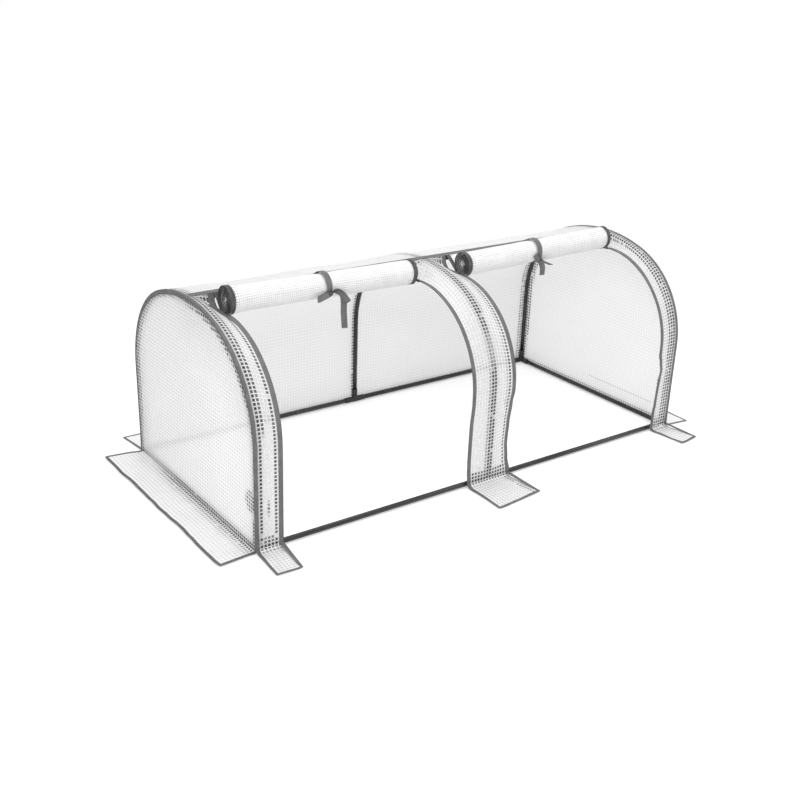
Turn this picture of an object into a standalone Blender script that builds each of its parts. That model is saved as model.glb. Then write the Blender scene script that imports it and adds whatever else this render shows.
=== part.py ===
# A tunnel greenhouse: a steel hoop frame under a film cover with two rolled front doors.
# X runs along the tunnel, the front faces -Y, and the ground is Z = 0.
import math

import bmesh
import bpy
from mathutils import Vector

# Overall sizes, over the film
LENGTH = 2.000
WIDTH = 0.940

# The arch: straight legs, tight shoulders and a flatter crown, each tangent to the next
LEG_HEIGHT = 0.370
SHOULDER_RADIUS = 0.380
CROWN_RADIUS = 0.6575
SHOULDER_STEPS = 9
CROWN_STEPS = 3

# The free edges of the front strips hang in an arc of their own, then climb in front of the ridge tube.
# A strip stays flat across its hoop and under its zip tape, with a margin past each.
EDGE_RADIUS = 0.347
EDGE_SWEEP = math.radians(96)
EDGE_FALL = 0.003
EDGE_CHAMFER = 0.020
FLAT_MARGIN = 0.0025

# Steel tube and moulded fittings
TUBE_RADIUS = 0.0095
TUBE_WALL = 0.0008
SPIGOT_LENGTH = 0.028
SPIGOT_NECK = 0.003
ARCH_TAIL = 0.030
SOCKET_RADIUS = 0.012
SOCKET_LENGTH = 0.048
SOCKET_SEAT = 0.013
SOCKET_STUB = 0.0095
SIDES = 12

# Film, tape and ribbon
FILM = 0.001
TAPE = 0.001
STRIP_WIDTH = 0.098
BINDING_WIDTH = 0.015
BINDING_SIDE = 0.010
TAPE_FOOT = 0.012
RIDGE_TAPE_FRONT = 0.012
RIDGE_TAPE_REAR = 0.020

# Ground skirts and foot flaps
END_SKIRT_DEPTH = 0.140
FOOT_DEPTH = 0.170
HEM_WIDTH = 0.014
HEM_RISE = 0.0008

# Zips
ZIP_SEWN = 0.012
ZIP_OVERHANG = 0.006
ZIP_BEAD_WIDTH = 0.003
ZIP_BEAD_RISE = 0.0006
SLIDER_LENGTH = 0.018
SLIDER_PLATE = 0.0012
SLIDER_COVER = 0.004
SLIDER_WEB = 0.0015
SLIDER_UNDER = 0.001
EAR_THICKNESS = 0.0015
EAR_GAP = 0.005
EAR_LENGTH = 0.0044
EAR_HEIGHT = 0.004
PIN_RADIUS = 0.0008
PIN_PLAY = 0.0003
PULL_LENGTH = 0.024
PULL_WIDTH = 0.008
PULL_THICKNESS = 0.0012

# Rolled doors and their ties
ROLL_LEFT_GAP = 0.003
ROLL_RIGHT_GAP = 0.024
ROLL_RADIUS = 0.052
ROLL_OUT = 0.100
ROLL_DROP = 0.014
ROLL_TURNS = 4
ROLL_PITCH = 0.0095
ROLL_STEPS = 20
DOOR_SHEET = 0.0020
RIBBON = 0.0010
RIBBON_WIDTH = 0.025
STRAP_START = 0.010
TIE_SLACK = 0.0010
TIE_STEPS = 16
BOW_ANGLE = math.radians(222)
KNOT_WIDTH = 0.026
KNOT_THICKNESS = 0.012
KNOT_HEIGHT = 0.018
KNOT_TUCK = math.radians(4)
LOOP_REACH = 0.046
LOOP_DEPTH = 0.007
LOOP_LEAN = 0.014
LOOP_DROP = 0.016
LOOP_PART = 0.002
LOOP_STEPS = 12
TAIL_SHIFT = 0.006
TAIL_PART = 0.003
TAIL_STEPS = 5
SHORT_TAIL = 0.052
SHORT_TAIL_LEAN = 1.20
LONG_TAIL = 0.122
LONG_TAIL_LEAN = 0.60

# Clearance between pieces that touch
FIT = 0.0003

FINISHES = {
    "tube": ((0.018, 0.018, 0.020), 0.36, 0.0),
    "socket": ((0.022, 0.022, 0.023), 0.55, 0.0),
    "film": ((0.86, 0.88, 0.87), 0.22, 0.0),
    "tape": ((0.135, 0.135, 0.138), 0.75, 0.0),
    "zip": ((0.110, 0.110, 0.112), 0.60, 0.0),
    "slider": ((0.32, 0.32, 0.33), 0.35, 1.0),
}


def clear_scene():
    for old in list(bpy.data.objects):
        bpy.data.objects.remove(old, do_unlink=True)


def paint(obj, finish):
    colour, roughness, metallic = FINISHES[finish]
    material = bpy.data.materials.new(obj.name)
    material.use_nodes = True
    shader = material.node_tree.nodes["Principled BSDF"]
    shader.inputs["Base Color"].default_value = (*colour, 1.0)
    shader.inputs["Roughness"].default_value = roughness
    shader.inputs["Metallic"].default_value = metallic
    material.diffuse_color = (*colour, 1.0)
    obj.data.materials.append(material)


def add_mesh(name, points, faces, finish=None, smooth=False, origin=(0, 0, 0)):
    place = Vector(origin)
    mesh = bpy.data.meshes.new(name)
    mesh.from_pydata([Vector(p) - place for p in points], [], faces)
    shell = bmesh.new()
    shell.from_mesh(mesh)
    bmesh.ops.recalc_face_normals(shell, faces=shell.faces)
    shell.to_mesh(mesh)
    shell.free()
    if smooth:
        mesh.shade_smooth()
        mesh.set_sharp_from_angle(angle=math.radians(40))
    obj = bpy.data.objects.new(name, mesh)
    obj.location = place
    bpy.context.scene.collection.objects.link(obj)
    if finish:
        paint(obj, finish)
    return obj


def combine(obj, tool, operation):
    tool.hide_render = True
    tool.display_type = "WIRE"
    modifier = obj.modifiers.new(operation.lower() + "_" + tool.name, "BOOLEAN")
    modifier.operation = operation
    modifier.solver = "EXACT"
    modifier.object = tool


# Skin over a row of closed rings, capped at both ends
def skin(rings):
    count = len(rings[0])
    points = [p for ring in rings for p in ring]
    faces = []
    for row in range(len(rings) - 1):
        for k in range(count):
            a = row * count + k
            b = row * count + (k + 1) % count
            faces.append((a, b, b + count, a + count))
    last = (len(rings) - 1) * count
    faces.append(tuple(range(count)))
    faces.append(tuple(last + k for k in range(count)))
    return points, faces


# Skin over outer and inner rings, open right through
def hollow_skin(outer, inner):
    count = len(outer[0])
    rows = len(outer)
    points = [p for ring in outer + inner for p in ring]
    faces = []
    for shift in (0, rows * count):
        for row in range(rows - 1):
            for k in range(count):
                a = shift + row * count + k
                b = shift + row * count + (k + 1) % count
                faces.append((a, b, b + count, a + count))
    for row in (0, rows - 1):
        for k in range(count):
            a = row * count + k
            b = row * count + (k + 1) % count
            faces.append((a, b, b + rows * count, a + rows * count))
    return points, faces


# Corners of a round section whose flats lie on the radius
def round_section(radius):
    corner = radius / math.cos(math.pi / SIDES)
    turns = [2 * math.pi * (k + 0.5) / SIDES for k in range(SIDES)]
    return [(corner * math.cos(t), corner * math.sin(t)) for t in turns]


# A bent line across the tunnel, from the front ground, as corners of (place, outward direction)
class Line:
    def __init__(self, corners):
        self.corners = corners
        self.runs = [0.0]
        for (p, _), (q, _) in zip(corners, corners[1:]):
            self.runs.append(self.runs[-1] + math.dist(p, q))
        self.total = self.runs[-1]

    # The point at a run along the line, moved inwards by an inset
    def at(self, run, inset):
        k = 0
        while k < len(self.runs) - 2 and run > self.runs[k + 1]:
            k += 1
        share = (run - self.runs[k]) / (self.runs[k + 1] - self.runs[k])
        ends = []
        for place, normal in self.corners[k:k + 2]:
            ends.append(Vector((0, place[0] - inset * normal[0], place[1] - inset * normal[1])))
        return ends[0].lerp(ends[1], share)

    def stops(self, first, last):
        return [first] + [r for r in self.runs if first + 1e-6 < r < last - 1e-6] + [last]


# Corners round a centre, after a start angle that is measured up from the front
def arc_corners(centre, radius, start, sweep, steps):
    corners = []
    for k in range(1, steps + 1):
        angle = start + sweep * k / steps
        normal = (-math.cos(angle), math.sin(angle))
        corners.append(((centre[0] + radius * normal[0], centre[1] + radius * normal[1]), normal))
    return corners


# The film's outer line over the hoops, from the front ground to the rear ground
def arch_line():
    across = WIDTH / 2 - SHOULDER_RADIUS
    sweep = math.acos(across / (CROWN_RADIUS - SHOULDER_RADIUS))
    crown_z = LEG_HEIGHT - across * math.tan(sweep)
    front = [((-WIDTH / 2, 0.0), (-1.0, 0.0)), ((-WIDTH / 2, LEG_HEIGHT), (-1.0, 0.0))]
    front += arc_corners((-across, LEG_HEIGHT), SHOULDER_RADIUS, 0.0, sweep, SHOULDER_STEPS)
    front += arc_corners((0.0, crown_z), CROWN_RADIUS, sweep, math.pi / 2 - sweep, CROWN_STEPS)
    rear = [((-p[0], p[1]), (-n[0], n[1])) for p, n in reversed(front[:-1])]
    return Line(front + rear)


# The free edge of a front strip, from the ground to the ridge
def edge_line(arch):
    places = [(-WIDTH / 2, 0.0), (-WIDTH / 2, LEG_HEIGHT)]
    centre = (EDGE_RADIUS - WIDTH / 2, LEG_HEIGHT)
    places += [place for place, _ in arc_corners(centre, EDGE_RADIUS, 0.0, EDGE_SWEEP, EDGE_STEPS)]
    low = places[-1][1]
    tape_front = arch.at(arch.total / 2 - RIDGE_TAPE_FRONT, 0)
    ridge = arch.at(arch.total / 2, 0)
    fall = tape_front.y - EDGE_FALL
    places += [(fall - EDGE_CHAMFER, low), (fall, low + EDGE_CHAMFER), tape_front.yz, ridge.yz]
    sides = []
    for (y0, z0), (y1, z1) in zip(places, places[1:]):
        length = math.hypot(y1 - y0, z1 - z0)
        sides.append(((z0 - z1) / length, (y1 - y0) / length))
    corners = []
    for place, a, b in zip(places, sides[:1] + sides, sides + sides[-1:]):
        grow = 1 + a[0] * b[0] + a[1] * b[1]
        corners.append((place, ((a[0] + b[0]) / grow, (a[1] + b[1]) / grow)))
    return Line(corners)


EDGE_STEPS = SHOULDER_STEPS + CROWN_STEPS
ARCH = arch_line()
RIDGE = ARCH.total / 2
EDGE = edge_line(ARCH)
TUBE_INSET = FILM + FIT + SOCKET_RADIUS
HOOP_X = LENGTH / 2 - FILM - FIT - SOCKET_RADIUS
LEG_Y = WIDTH / 2 - TUBE_INSET
RAIL_Z = SOCKET_RADIUS
LEG_TOP = LEG_HEIGHT - ARCH_TAIL
SPIGOT_RADIUS = TUBE_RADIUS - TUBE_WALL - FIT
COVER_X = LENGTH / 2 - FILM - FIT
STRIP_EDGE = LENGTH / 2 - STRIP_WIDTH
TUBE_END = SOCKET_SEAT + FIT


# A section of (x, inset) points carried along a line
def sweep_along(line, name, section, first, last, finish, smooth=False):
    rings = []
    for run in line.stops(first, last):
        rings.append([Vector((x, 0, 0)) + line.at(run, inset) for x, inset in section])
    points, faces = skin(rings)
    return add_mesh(name, points, faces, finish, smooth)


def slab_section(x_low, x_high, inset_out, inset_in):
    return [(x_low, inset_out), (x_high, inset_out), (x_high, inset_in), (x_low, inset_in)]


def add_arch_tube(name, x, first, last):
    shells = []
    for radius in (TUBE_RADIUS, TUBE_RADIUS - TUBE_WALL):
        rings = []
        for run in ARCH.stops(first, last):
            ring = [Vector((x + a, 0, 0)) + ARCH.at(run, TUBE_INSET + b) for a, b in round_section(radius)]
            rings.append(ring)
        shells.append(rings)
    points, faces = hollow_skin(*shells)
    add_mesh(name, points, faces, "tube", smooth=True)


# Two directions square to a line, so that flats face the ground and the film
def square_to(direction):
    side = Vector((1, 0, 0)) if abs(direction.x) < 0.5 else Vector((0, 1, 0))
    return side, direction.cross(side)


def ring_at(centre, direction, radius):
    side, up = square_to(direction)
    return [centre + side * a + up * b for a, b in round_section(radius)]


# A straight tube as (distance, outer radius, inner radius) stations from a start
def add_tube(name, start, direction, stations):
    outer = [ring_at(start + direction * d, direction, r) for d, r, _ in stations]
    inner = [ring_at(start + direction * d, direction, r) for d, _, r in stations]
    points, faces = hollow_skin(outer, inner)
    add_mesh(name, points, faces, "tube", smooth=True)


def add_rail(name, start, end):
    direction = (end - start).normalized()
    bore = TUBE_RADIUS - TUBE_WALL
    reach = (end - start).length - TUBE_END
    add_tube(name, start, direction, [(TUBE_END, TUBE_RADIUS, bore), (reach, TUBE_RADIUS, bore)])


def add_leg(name, x, y):
    bore = TUBE_RADIUS - TUBE_WALL
    neck = LEG_TOP - RAIL_Z
    stations = [
        (TUBE_END, TUBE_RADIUS, bore),
        (neck, TUBE_RADIUS, bore),
        (neck + SPIGOT_NECK, SPIGOT_RADIUS, SPIGOT_RADIUS - TUBE_WALL),
        (neck + SPIGOT_LENGTH, SPIGOT_RADIUS, SPIGOT_RADIUS - TUBE_WALL),
    ]
    add_tube(name, Vector((x, y, RAIL_Z)), Vector((0, 0, 1)), stations)


def add_hoops():
    # A run along the film is this much shorter on the underside of the arch tubes
    underside = 1 - (TUBE_INSET + TUBE_RADIUS) / CROWN_RADIUS
    for side, x in (("left", -HOOP_X), ("middle", 0.0), ("right", HOOP_X)):
        add_leg("hoop_" + side + "_front_leg", x, -LEG_Y)
        add_leg("hoop_" + side + "_rear_leg", x, LEG_Y)
        top = RIDGE - TUBE_END / underside
        low = LEG_TOP + SPIGOT_NECK + FIT
        add_arch_tube("hoop_" + side + "_front_arch", x, low, top)
        add_arch_tube("hoop_" + side + "_rear_arch", x, ARCH.total - top, ARCH.total - low)


def add_rails():
    for label, y in (("front", -LEG_Y), ("rear", LEG_Y)):
        middle = Vector((0, y, RAIL_Z))
        add_rail(label + "_rail_left", Vector((-HOOP_X, y, RAIL_Z)), middle)
        add_rail(label + "_rail_right", middle, Vector((HOOP_X, y, RAIL_Z)))
    for side, x in (("left", -HOOP_X), ("right", HOOP_X)):
        add_rail("end_rail_" + side, Vector((x, -LEG_Y, RAIL_Z)), Vector((x, LEG_Y, RAIL_Z)))
    ridge = ARCH.at(RIDGE, TUBE_INSET)
    add_rail("ridge_tube_left", ridge + Vector((-HOOP_X, 0, 0)), ridge)
    add_rail("ridge_tube_right", ridge, ridge + Vector((HOOP_X, 0, 0)))


# A moulded fitting: one closed socket for each direction, joined at the centre.
# A socket that lies along the film starts at the centre, and the others start a stub behind it.
def add_fitting(name, centre, directions, along_film=()):
    body = None
    for k, direction in enumerate(directions):
        stub = 0.0 if direction in along_film else SOCKET_STUB
        start = centre - direction * stub
        rings = [ring_at(start, direction, SOCKET_RADIUS),
                 ring_at(centre + direction * SOCKET_LENGTH, direction, SOCKET_RADIUS)]
        points, faces = skin(rings)
        if body is None:
            body = add_mesh(name, points, faces, "socket", smooth=True, origin=centre)
        else:
            combine(body, add_mesh(name + "_arm_" + str(k), points, faces), "UNION")
    for k, direction in enumerate(directions):
        rings = [ring_at(centre + direction * SOCKET_SEAT, direction, TUBE_RADIUS + FIT),
                 ring_at(centre + direction * (SOCKET_LENGTH + TUBE_RADIUS), direction, TUBE_RADIUS + FIT)]
        points, faces = skin(rings)
        combine(body, add_mesh(name + "_bore_" + str(k), points, faces), "DIFFERENCE")


def add_fittings():
    right = Vector((1, 0, 0))
    back = Vector((0, 1, 0))
    up = Vector((0, 0, 1))
    for label, y, inward in (("front", -LEG_Y, back), ("rear", LEG_Y, -back)):
        corner = Vector((-HOOP_X, y, RAIL_Z))
        add_fitting("corner_fitting_" + label + "_left", corner, [right, inward, up])
        corner = Vector((HOOP_X, y, RAIL_Z))
        add_fitting("corner_fitting_" + label + "_right", corner, [-right, inward, up])
        add_fitting("tee_fitting_" + label, Vector((0, y, RAIL_Z)), [right, -right, up])
    ridge = ARCH.at(RIDGE, TUBE_INSET)
    slopes = []
    for step in (-1, 1):
        beside = ARCH.at(ARCH.runs[len(ARCH.runs) // 2 + step], TUBE_INSET)
        slopes.append((beside - ridge).normalized())
    add_fitting("ridge_fitting_left", ridge + Vector((-HOOP_X, 0, 0)), [right] + slopes, slopes)
    add_fitting("ridge_fitting_middle", ridge, [right, -right] + slopes, slopes)
    add_fitting("ridge_fitting_right", ridge + Vector((HOOP_X, 0, 0)), [-right] + slopes, slopes)


def add_walls():
    rear = slab_section(-COVER_X, COVER_X, 0, FILM)
    sweep_along(ARCH, "rear_wall", rear, RIDGE + FIT / 2, ARCH.total - FIT, "film")
    for name, sign in (("left", -1), ("right", 1)):
        outline = [ARCH.at(run, 0) for run in ARCH.stops(FIT, ARCH.total - FIT)]
        rings = []
        for x in (LENGTH / 2 - FILM, LENGTH / 2):
            rings.append([point + Vector((sign * x, 0, 0)) for point in outline])
        points, faces = skin(rings)
        add_mesh("end_panel_" + name, points, faces, "film")


# Runs on the arch and on the free edge that lie beside each other across a strip
def strip_stations():
    edge_runs = EDGE.stops(FIT, EDGE.total - FIT / 2)
    tape_front = RIDGE - RIDGE_TAPE_FRONT
    arch_runs = [run for run in ARCH.stops(FIT, RIDGE) if run < tape_front]
    last = arch_runs[-1]
    extra = len(edge_runs) - len(arch_runs) - 1
    arch_runs += [last + (tape_front - last) * k / extra for k in range(1, extra + 1)]
    arch_runs.append(RIDGE - FIT / 2)
    return list(zip(arch_runs, edge_runs))


# A strip across (x, line) columns, which are on the arch over its hoop and on the edge line at a zip.
# Both sides of the film are split along the same diagonals, so that it is equally thick all over.
def add_strip(name, columns):
    stations = strip_stations()
    sides = []
    for inset in (0, FILM):
        for arch_run, edge_run in stations:
            for x, line in columns:
                run = edge_run if line is EDGE else arch_run
                sides.append(Vector((x, 0, 0)) + line.at(run, inset))
    across = len(columns)
    rows = len(stations)
    under = across * rows
    faces = []
    for row in range(rows - 1):
        for k in range(across - 1):
            a = row * across + k
            b = a + across
            for shift in (0, under):
                faces.append((shift + a, shift + a + 1, shift + b + 1))
                faces.append((shift + a, shift + b + 1, shift + b))
        for a in (row * across, row * across + across - 1):
            faces.append((a, a + across, a + across + under, a + under))
    for row in (0, rows - 1):
        for a in range(row * across, row * across + across - 1):
            faces.append((a, a + 1, a + 1 + under))
            faces.append((a, a + 1 + under, a + under))
    add_mesh(name, sides, faces, "film")


def add_strips():
    beside_hoop = SOCKET_RADIUS + FLAT_MARGIN
    under_tape = ZIP_SEWN + FLAT_MARGIN
    for side, sign in (("left", -1), ("right", 1)):
        columns = [(sign * COVER_X, ARCH), (sign * (HOOP_X - beside_hoop), ARCH),
                   (sign * (STRIP_EDGE + under_tape), EDGE), (sign * STRIP_EDGE, EDGE)]
        add_strip("front_strip_" + side, columns)
    half = [(STRIP_WIDTH, EDGE), (STRIP_WIDTH - under_tape, EDGE), (beside_hoop, ARCH)]
    other_half = [(-x, line) for x, line in reversed(half)]
    add_strip("front_strip_middle", half + other_half)


# Grey tape folded over each end arch, and a flat one along the ridge
def add_tapes():
    for name, sign in (("left", -1), ("right", 1)):
        outer = LENGTH / 2 + FIT + TAPE
        angle = [
            (sign * outer, -FIT - TAPE),
            (sign * (LENGTH / 2 - BINDING_WIDTH), -FIT - TAPE),
            (sign * (LENGTH / 2 - BINDING_WIDTH), -FIT),
            (sign * (outer - TAPE), -FIT),
            (sign * (outer - TAPE), BINDING_SIDE),
            (sign * outer, BINDING_SIDE),
        ]
        sweep_along(ARCH, "end_binding_" + name, angle, TAPE_FOOT, ARCH.total - TAPE_FOOT, "tape")
    reach = LENGTH / 2 - BINDING_WIDTH - FIT
    flat = slab_section(-reach, reach, -FIT - TAPE, -FIT)
    sweep_along(ARCH, "ridge_tape", flat, RIDGE - RIDGE_TAPE_FRONT, RIDGE + RIDGE_TAPE_REAR, "tape")


# A sheet on the ground with a raised hem on its three free sides, folded up at its fourth
def add_ground_sheet(name, fold_start, fold_end, outward):
    along = (fold_end - fold_start).normalized()
    out = outward.normalized()
    origin = fold_start + out * FIT
    width = (fold_end - fold_start).length
    depth = outward.length

    def spot(across, away, height):
        return origin + along * across + out * away + Vector((0, 0, height))

    rim = FILM + HEM_RISE
    left, right, far = HEM_WIDTH, width - HEM_WIDTH, depth - HEM_WIDTH
    points = [
        spot(0, 0, 0), spot(width, 0, 0), spot(width, depth, 0), spot(0, depth, 0),
        spot(0, 0, rim), spot(width, 0, rim), spot(width, depth, rim), spot(0, depth, rim),
        spot(left, 0, rim), spot(right, 0, rim), spot(right, far, rim), spot(left, far, rim),
        spot(left, 0, FILM), spot(right, 0, FILM), spot(right, far, FILM), spot(left, far, FILM),
    ]
    faces = [
        (0, 1, 2, 3), (12, 15, 14, 13),
        (0, 4, 8, 12, 13, 9, 5, 1),
        (1, 5, 6, 2), (2, 6, 7, 3), (3, 7, 4, 0),
        (4, 7, 11, 8), (7, 6, 10, 11), (6, 5, 9, 10),
        (8, 11, 15, 12), (11, 10, 14, 15), (10, 9, 13, 14),
    ]
    hinge = fold_start.lerp(fold_end, 0.5) + out * (FIT / 2) + Vector((0, 0, rim + FIT / 2))
    add_mesh(name, points, faces, "film", origin=hinge)


def add_ground_sheets():
    half_x = LENGTH / 2
    half_y = WIDTH / 2
    front = Vector((0, -FOOT_DEPTH, 0))
    for name, low, high in (("left", -half_x, -STRIP_EDGE), ("middle", -STRIP_WIDTH, STRIP_WIDTH),
                            ("right", STRIP_EDGE, half_x)):
        add_ground_sheet("foot_flap_" + name, Vector((low, -half_y, 0)), Vector((high, -half_y, 0)), front)
    add_ground_sheet("rear_skirt", Vector((-half_x, half_y, 0)), Vector((half_x, half_y, 0)), -front)
    for name, sign in (("left", -1), ("right", 1)):
        start = Vector((sign * half_x, -half_y, 0))
        end = Vector((sign * half_x, half_y, 0))
        add_ground_sheet("end_skirt_" + name, start, end, Vector((sign * END_SKIRT_DEPTH, 0, 0)))


# The front strips' edges that carry a zip: label, x of the edge, and the side of the open bay
def zip_edges():
    return [
        ("left_bay_left", -STRIP_EDGE, 1),
        ("left_bay_right", -STRIP_WIDTH, -1),
        ("right_bay_left", STRIP_WIDTH, 1),
        ("right_bay_right", STRIP_EDGE, -1),
    ]


def add_zip_tape(label, edge, bay):
    outer, inner = -FIT - TAPE, -FIT
    tooth = ZIP_OVERHANG - ZIP_BEAD_WIDTH
    section = [
        (edge - bay * ZIP_SEWN, outer),
        (edge + bay * tooth, outer),
        (edge + bay * tooth, outer - ZIP_BEAD_RISE),
        (edge + bay * ZIP_OVERHANG, outer - ZIP_BEAD_RISE),
        (edge + bay * ZIP_OVERHANG, inner + ZIP_BEAD_RISE),
        (edge + bay * tooth, inner + ZIP_BEAD_RISE),
        (edge + bay * tooth, inner),
        (edge - bay * ZIP_SEWN, inner),
    ]
    sweep_along(EDGE, "zip_tape_" + label, section, TAPE_FOOT, EDGE.runs[-2] - FIT, "zip")


# The slider's rest is the middle of the last flat of the free edge's arc
def slider_frame():
    half_step = EDGE_SWEEP / EDGE_STEPS / 2
    angle = EDGE_SWEEP - half_step
    outward = Vector((0, -math.cos(angle), math.sin(angle)))
    downhill = Vector((0, -math.sin(angle), -math.cos(angle)))
    return half_step, outward, downhill


def box_between(name, place, axes, lows, highs, finish=None, origin=(0, 0, 0)):
    u_axis, v_axis, w_axis = axes
    outline = ((lows[0], lows[1]), (highs[0], lows[1]), (highs[0], highs[1]), (lows[0], highs[1]))
    rings = []
    for w in (lows[2], highs[2]):
        rings.append([place + u_axis * u + v_axis * v + w_axis * w for u, v in outline])
    points, faces = skin(rings)
    return add_mesh(name, points, faces, finish, origin=origin)


def pin_between(name, centre, u_axis, radius, low, high, finish=None, origin=(0, 0, 0)):
    rings = [ring_at(centre + u_axis * u, u_axis, radius) for u in (low, high)]
    points, faces = skin(rings)
    return add_mesh(name, points, faces, finish, origin=origin)


# A slider round the zip's bead: plates above and below, a web past the bead, two ears for the pull
def add_slider_and_pull(label, edge, bay):
    half_step, outward, downhill = slider_frame()
    across = Vector((bay, 0, 0))
    axis = Vector((edge, EDGE_RADIUS - WIDTH / 2, LEG_HEIGHT))
    place = axis + outward * EDGE_RADIUS
    flat_sink = (EDGE_RADIUS + FIT) * (1 - math.cos(half_step)) + FIT
    above = FIT + TAPE + ZIP_BEAD_RISE + FIT
    below = FIT - ZIP_BEAD_RISE - flat_sink
    web = ZIP_OVERHANG + FIT
    section = [
        (-SLIDER_COVER, above), (-SLIDER_COVER, above + SLIDER_PLATE),
        (web + SLIDER_WEB, above + SLIDER_PLATE), (web + SLIDER_WEB, below - SLIDER_PLATE),
        (SLIDER_UNDER, below - SLIDER_PLATE), (SLIDER_UNDER, below),
        (web, below), (web, above),
    ]
    rings = []
    for w in (-SLIDER_LENGTH / 2, SLIDER_LENGTH / 2):
        rings.append([place + across * u + outward * v + downhill * w for u, v in section])
    points, faces = skin(rings)
    slider = add_mesh("zip_slider_" + label, points, faces, "slider", origin=axis)

    deck = above + SLIDER_PLATE
    centre_u = (web + SLIDER_WEB - SLIDER_COVER) / 2
    pin_v = deck + EAR_HEIGHT / 2
    ear_out = EAR_GAP / 2 + EAR_THICKNESS
    for k, side in enumerate((-1, 1)):
        u_low, u_high = sorted((centre_u + side * EAR_GAP / 2, centre_u + side * ear_out))
        lows = (u_low, deck - SLIDER_PLATE / 2, -EAR_LENGTH / 2)
        highs = (u_high, deck + EAR_HEIGHT, EAR_LENGTH / 2)
        ear = box_between("ear_" + label + str(k), place, (across, outward, downhill), lows, highs)
        combine(slider, ear, "UNION")
    pin = place + outward * pin_v + across * centre_u
    reach = ear_out + EAR_THICKNESS
    hole = pin_between("pin_hole_" + label, pin, across, PIN_RADIUS + PIN_PLAY, -reach, reach)
    combine(slider, hole, "DIFFERENCE")

    pull = pin_between("zip_pull_" + label, pin, across, PIN_RADIUS, -ear_out, ear_out, "slider", pin)
    neck = EAR_GAP / 2 - PIN_PLAY
    outline = [
        (-neck, -PIN_RADIUS), (neck, -PIN_RADIUS), (neck, EAR_LENGTH / 2 + PIN_PLAY),
        (PULL_WIDTH / 2, EAR_LENGTH), (PULL_WIDTH / 2, PULL_LENGTH - EAR_LENGTH / 2), (neck, PULL_LENGTH),
        (-neck, PULL_LENGTH), (-PULL_WIDTH / 2, PULL_LENGTH - EAR_LENGTH / 2), (-PULL_WIDTH / 2, EAR_LENGTH),
        (-neck, EAR_LENGTH / 2 + PIN_PLAY),
    ]
    rings = []
    for v in (-PULL_THICKNESS / 2, PULL_THICKNESS / 2):
        rings.append([pin + across * u + outward * v + downhill * w for u, w in outline])
    points, faces = skin(rings)
    combine(pull, add_mesh("tab_" + label, points, faces), "UNION")


# The line along which each door is sewn to the ridge tape, and turns
def door_hinge():
    run = RIDGE - RIDGE_TAPE_FRONT - FIT / 2
    return ARCH.at(run, -FIT - TAPE - FIT / 2)


def roll_centre():
    return door_hinge() + Vector((0, -ROLL_OUT + RIDGE_TAPE_FRONT, -ROLL_DROP))


# Where a line from a point touches a circle, passing over or under its centre
def tangent_angle(point, centre, radius, over):
    away = point - centre
    spread = math.acos(radius / away.length)
    return math.atan2(away.z, away.y) + (spread if over else -spread)


def polar(centre, radius, angle):
    return centre + Vector((0, radius * math.cos(angle), radius * math.sin(angle)))


# A flat band in the YZ plane: both faces of a line, as a closed strip from x_low to x_high
def add_band(name, line, thickness, x_low, x_high, finish=None, origin=(0, 0, 0)):
    rings = []
    for k, point in enumerate(line):
        before = line[max(k - 1, 0)]
        after = line[min(k + 1, len(line) - 1)]
        along = (after - before).normalized()
        normal = Vector((0, -along.z, along.y))
        ring = []
        for x, side in ((x_low, -0.5), (x_high, -0.5), (x_high, 0.5), (x_low, 0.5)):
            ring.append(point + normal * thickness * side + Vector((x, 0, 0)))
        rings.append(ring)
    points, faces = skin(rings)
    return add_mesh(name, points, faces, finish, origin=origin)


def roll_line():
    hinge = door_hinge()
    centre = roll_centre()
    radius = ROLL_RADIUS - DOOR_SHEET / 2
    start = hinge + Vector((0, -FIT / 2, -FIT / 2 - DOOR_SHEET / 2))
    angle = tangent_angle(start, centre, radius, over=False)
    line = [start]
    for k in range(ROLL_TURNS * ROLL_STEPS + 1):
        turn = k / ROLL_STEPS
        line.append(polar(centre, radius - ROLL_PITCH * turn, angle - 2 * math.pi * turn))
    return line


def report_least_gap(line, thickness):
    least = math.inf
    for i, a in enumerate(line):
        for b in line[i + ROLL_STEPS // 2:]:
            least = min(least, (a - b).length)
    print("least gap between the roll's turns, mm:", round((least - thickness) * 1000, 2))


# Each door's ends lie inside the zips of its bay
def door_spans():
    spans = []
    for side, bay in (("left", (-STRIP_EDGE, -STRIP_WIDTH)), ("right", (STRIP_WIDTH, STRIP_EDGE))):
        low = bay[0] + ZIP_OVERHANG + ROLL_LEFT_GAP
        spans.append((side, low, bay[1] - ZIP_OVERHANG - ROLL_RIGHT_GAP))
    return spans


def add_doors():
    line = roll_line()
    report_least_gap(line, DOOR_SHEET)
    for side, low, high in door_spans():
        hinge = door_hinge() + Vector(((low + high) / 2, 0, 0))
        add_band("rolled_door_" + side, line, DOOR_SHEET, low, high, "film", origin=hinge)


# The ribbon's run round the roll, above or below the door, from beside the ridge to the knot
def ribbon_line(over):
    centre = roll_centre()
    radius = ROLL_RADIUS + TIE_SLACK + FIT + RIBBON / 2
    sewn = door_hinge()
    sewn.z -= FIT + RIBBON / 2
    if not over:
        sewn.z -= DOOR_SHEET + TIE_SLACK
    first = tangent_angle(sewn, centre, radius, over)
    last = BOW_ANGLE - KNOT_TUCK if over else BOW_ANGLE - 2 * math.pi + KNOT_TUCK
    leaving = (polar(centre, radius, first) - sewn).normalized()
    line = [sewn + leaving * STRAP_START]
    for k in range(TIE_STEPS + 1):
        line.append(polar(centre, radius, first + (last - first) * k / TIE_STEPS))
    return line


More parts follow.
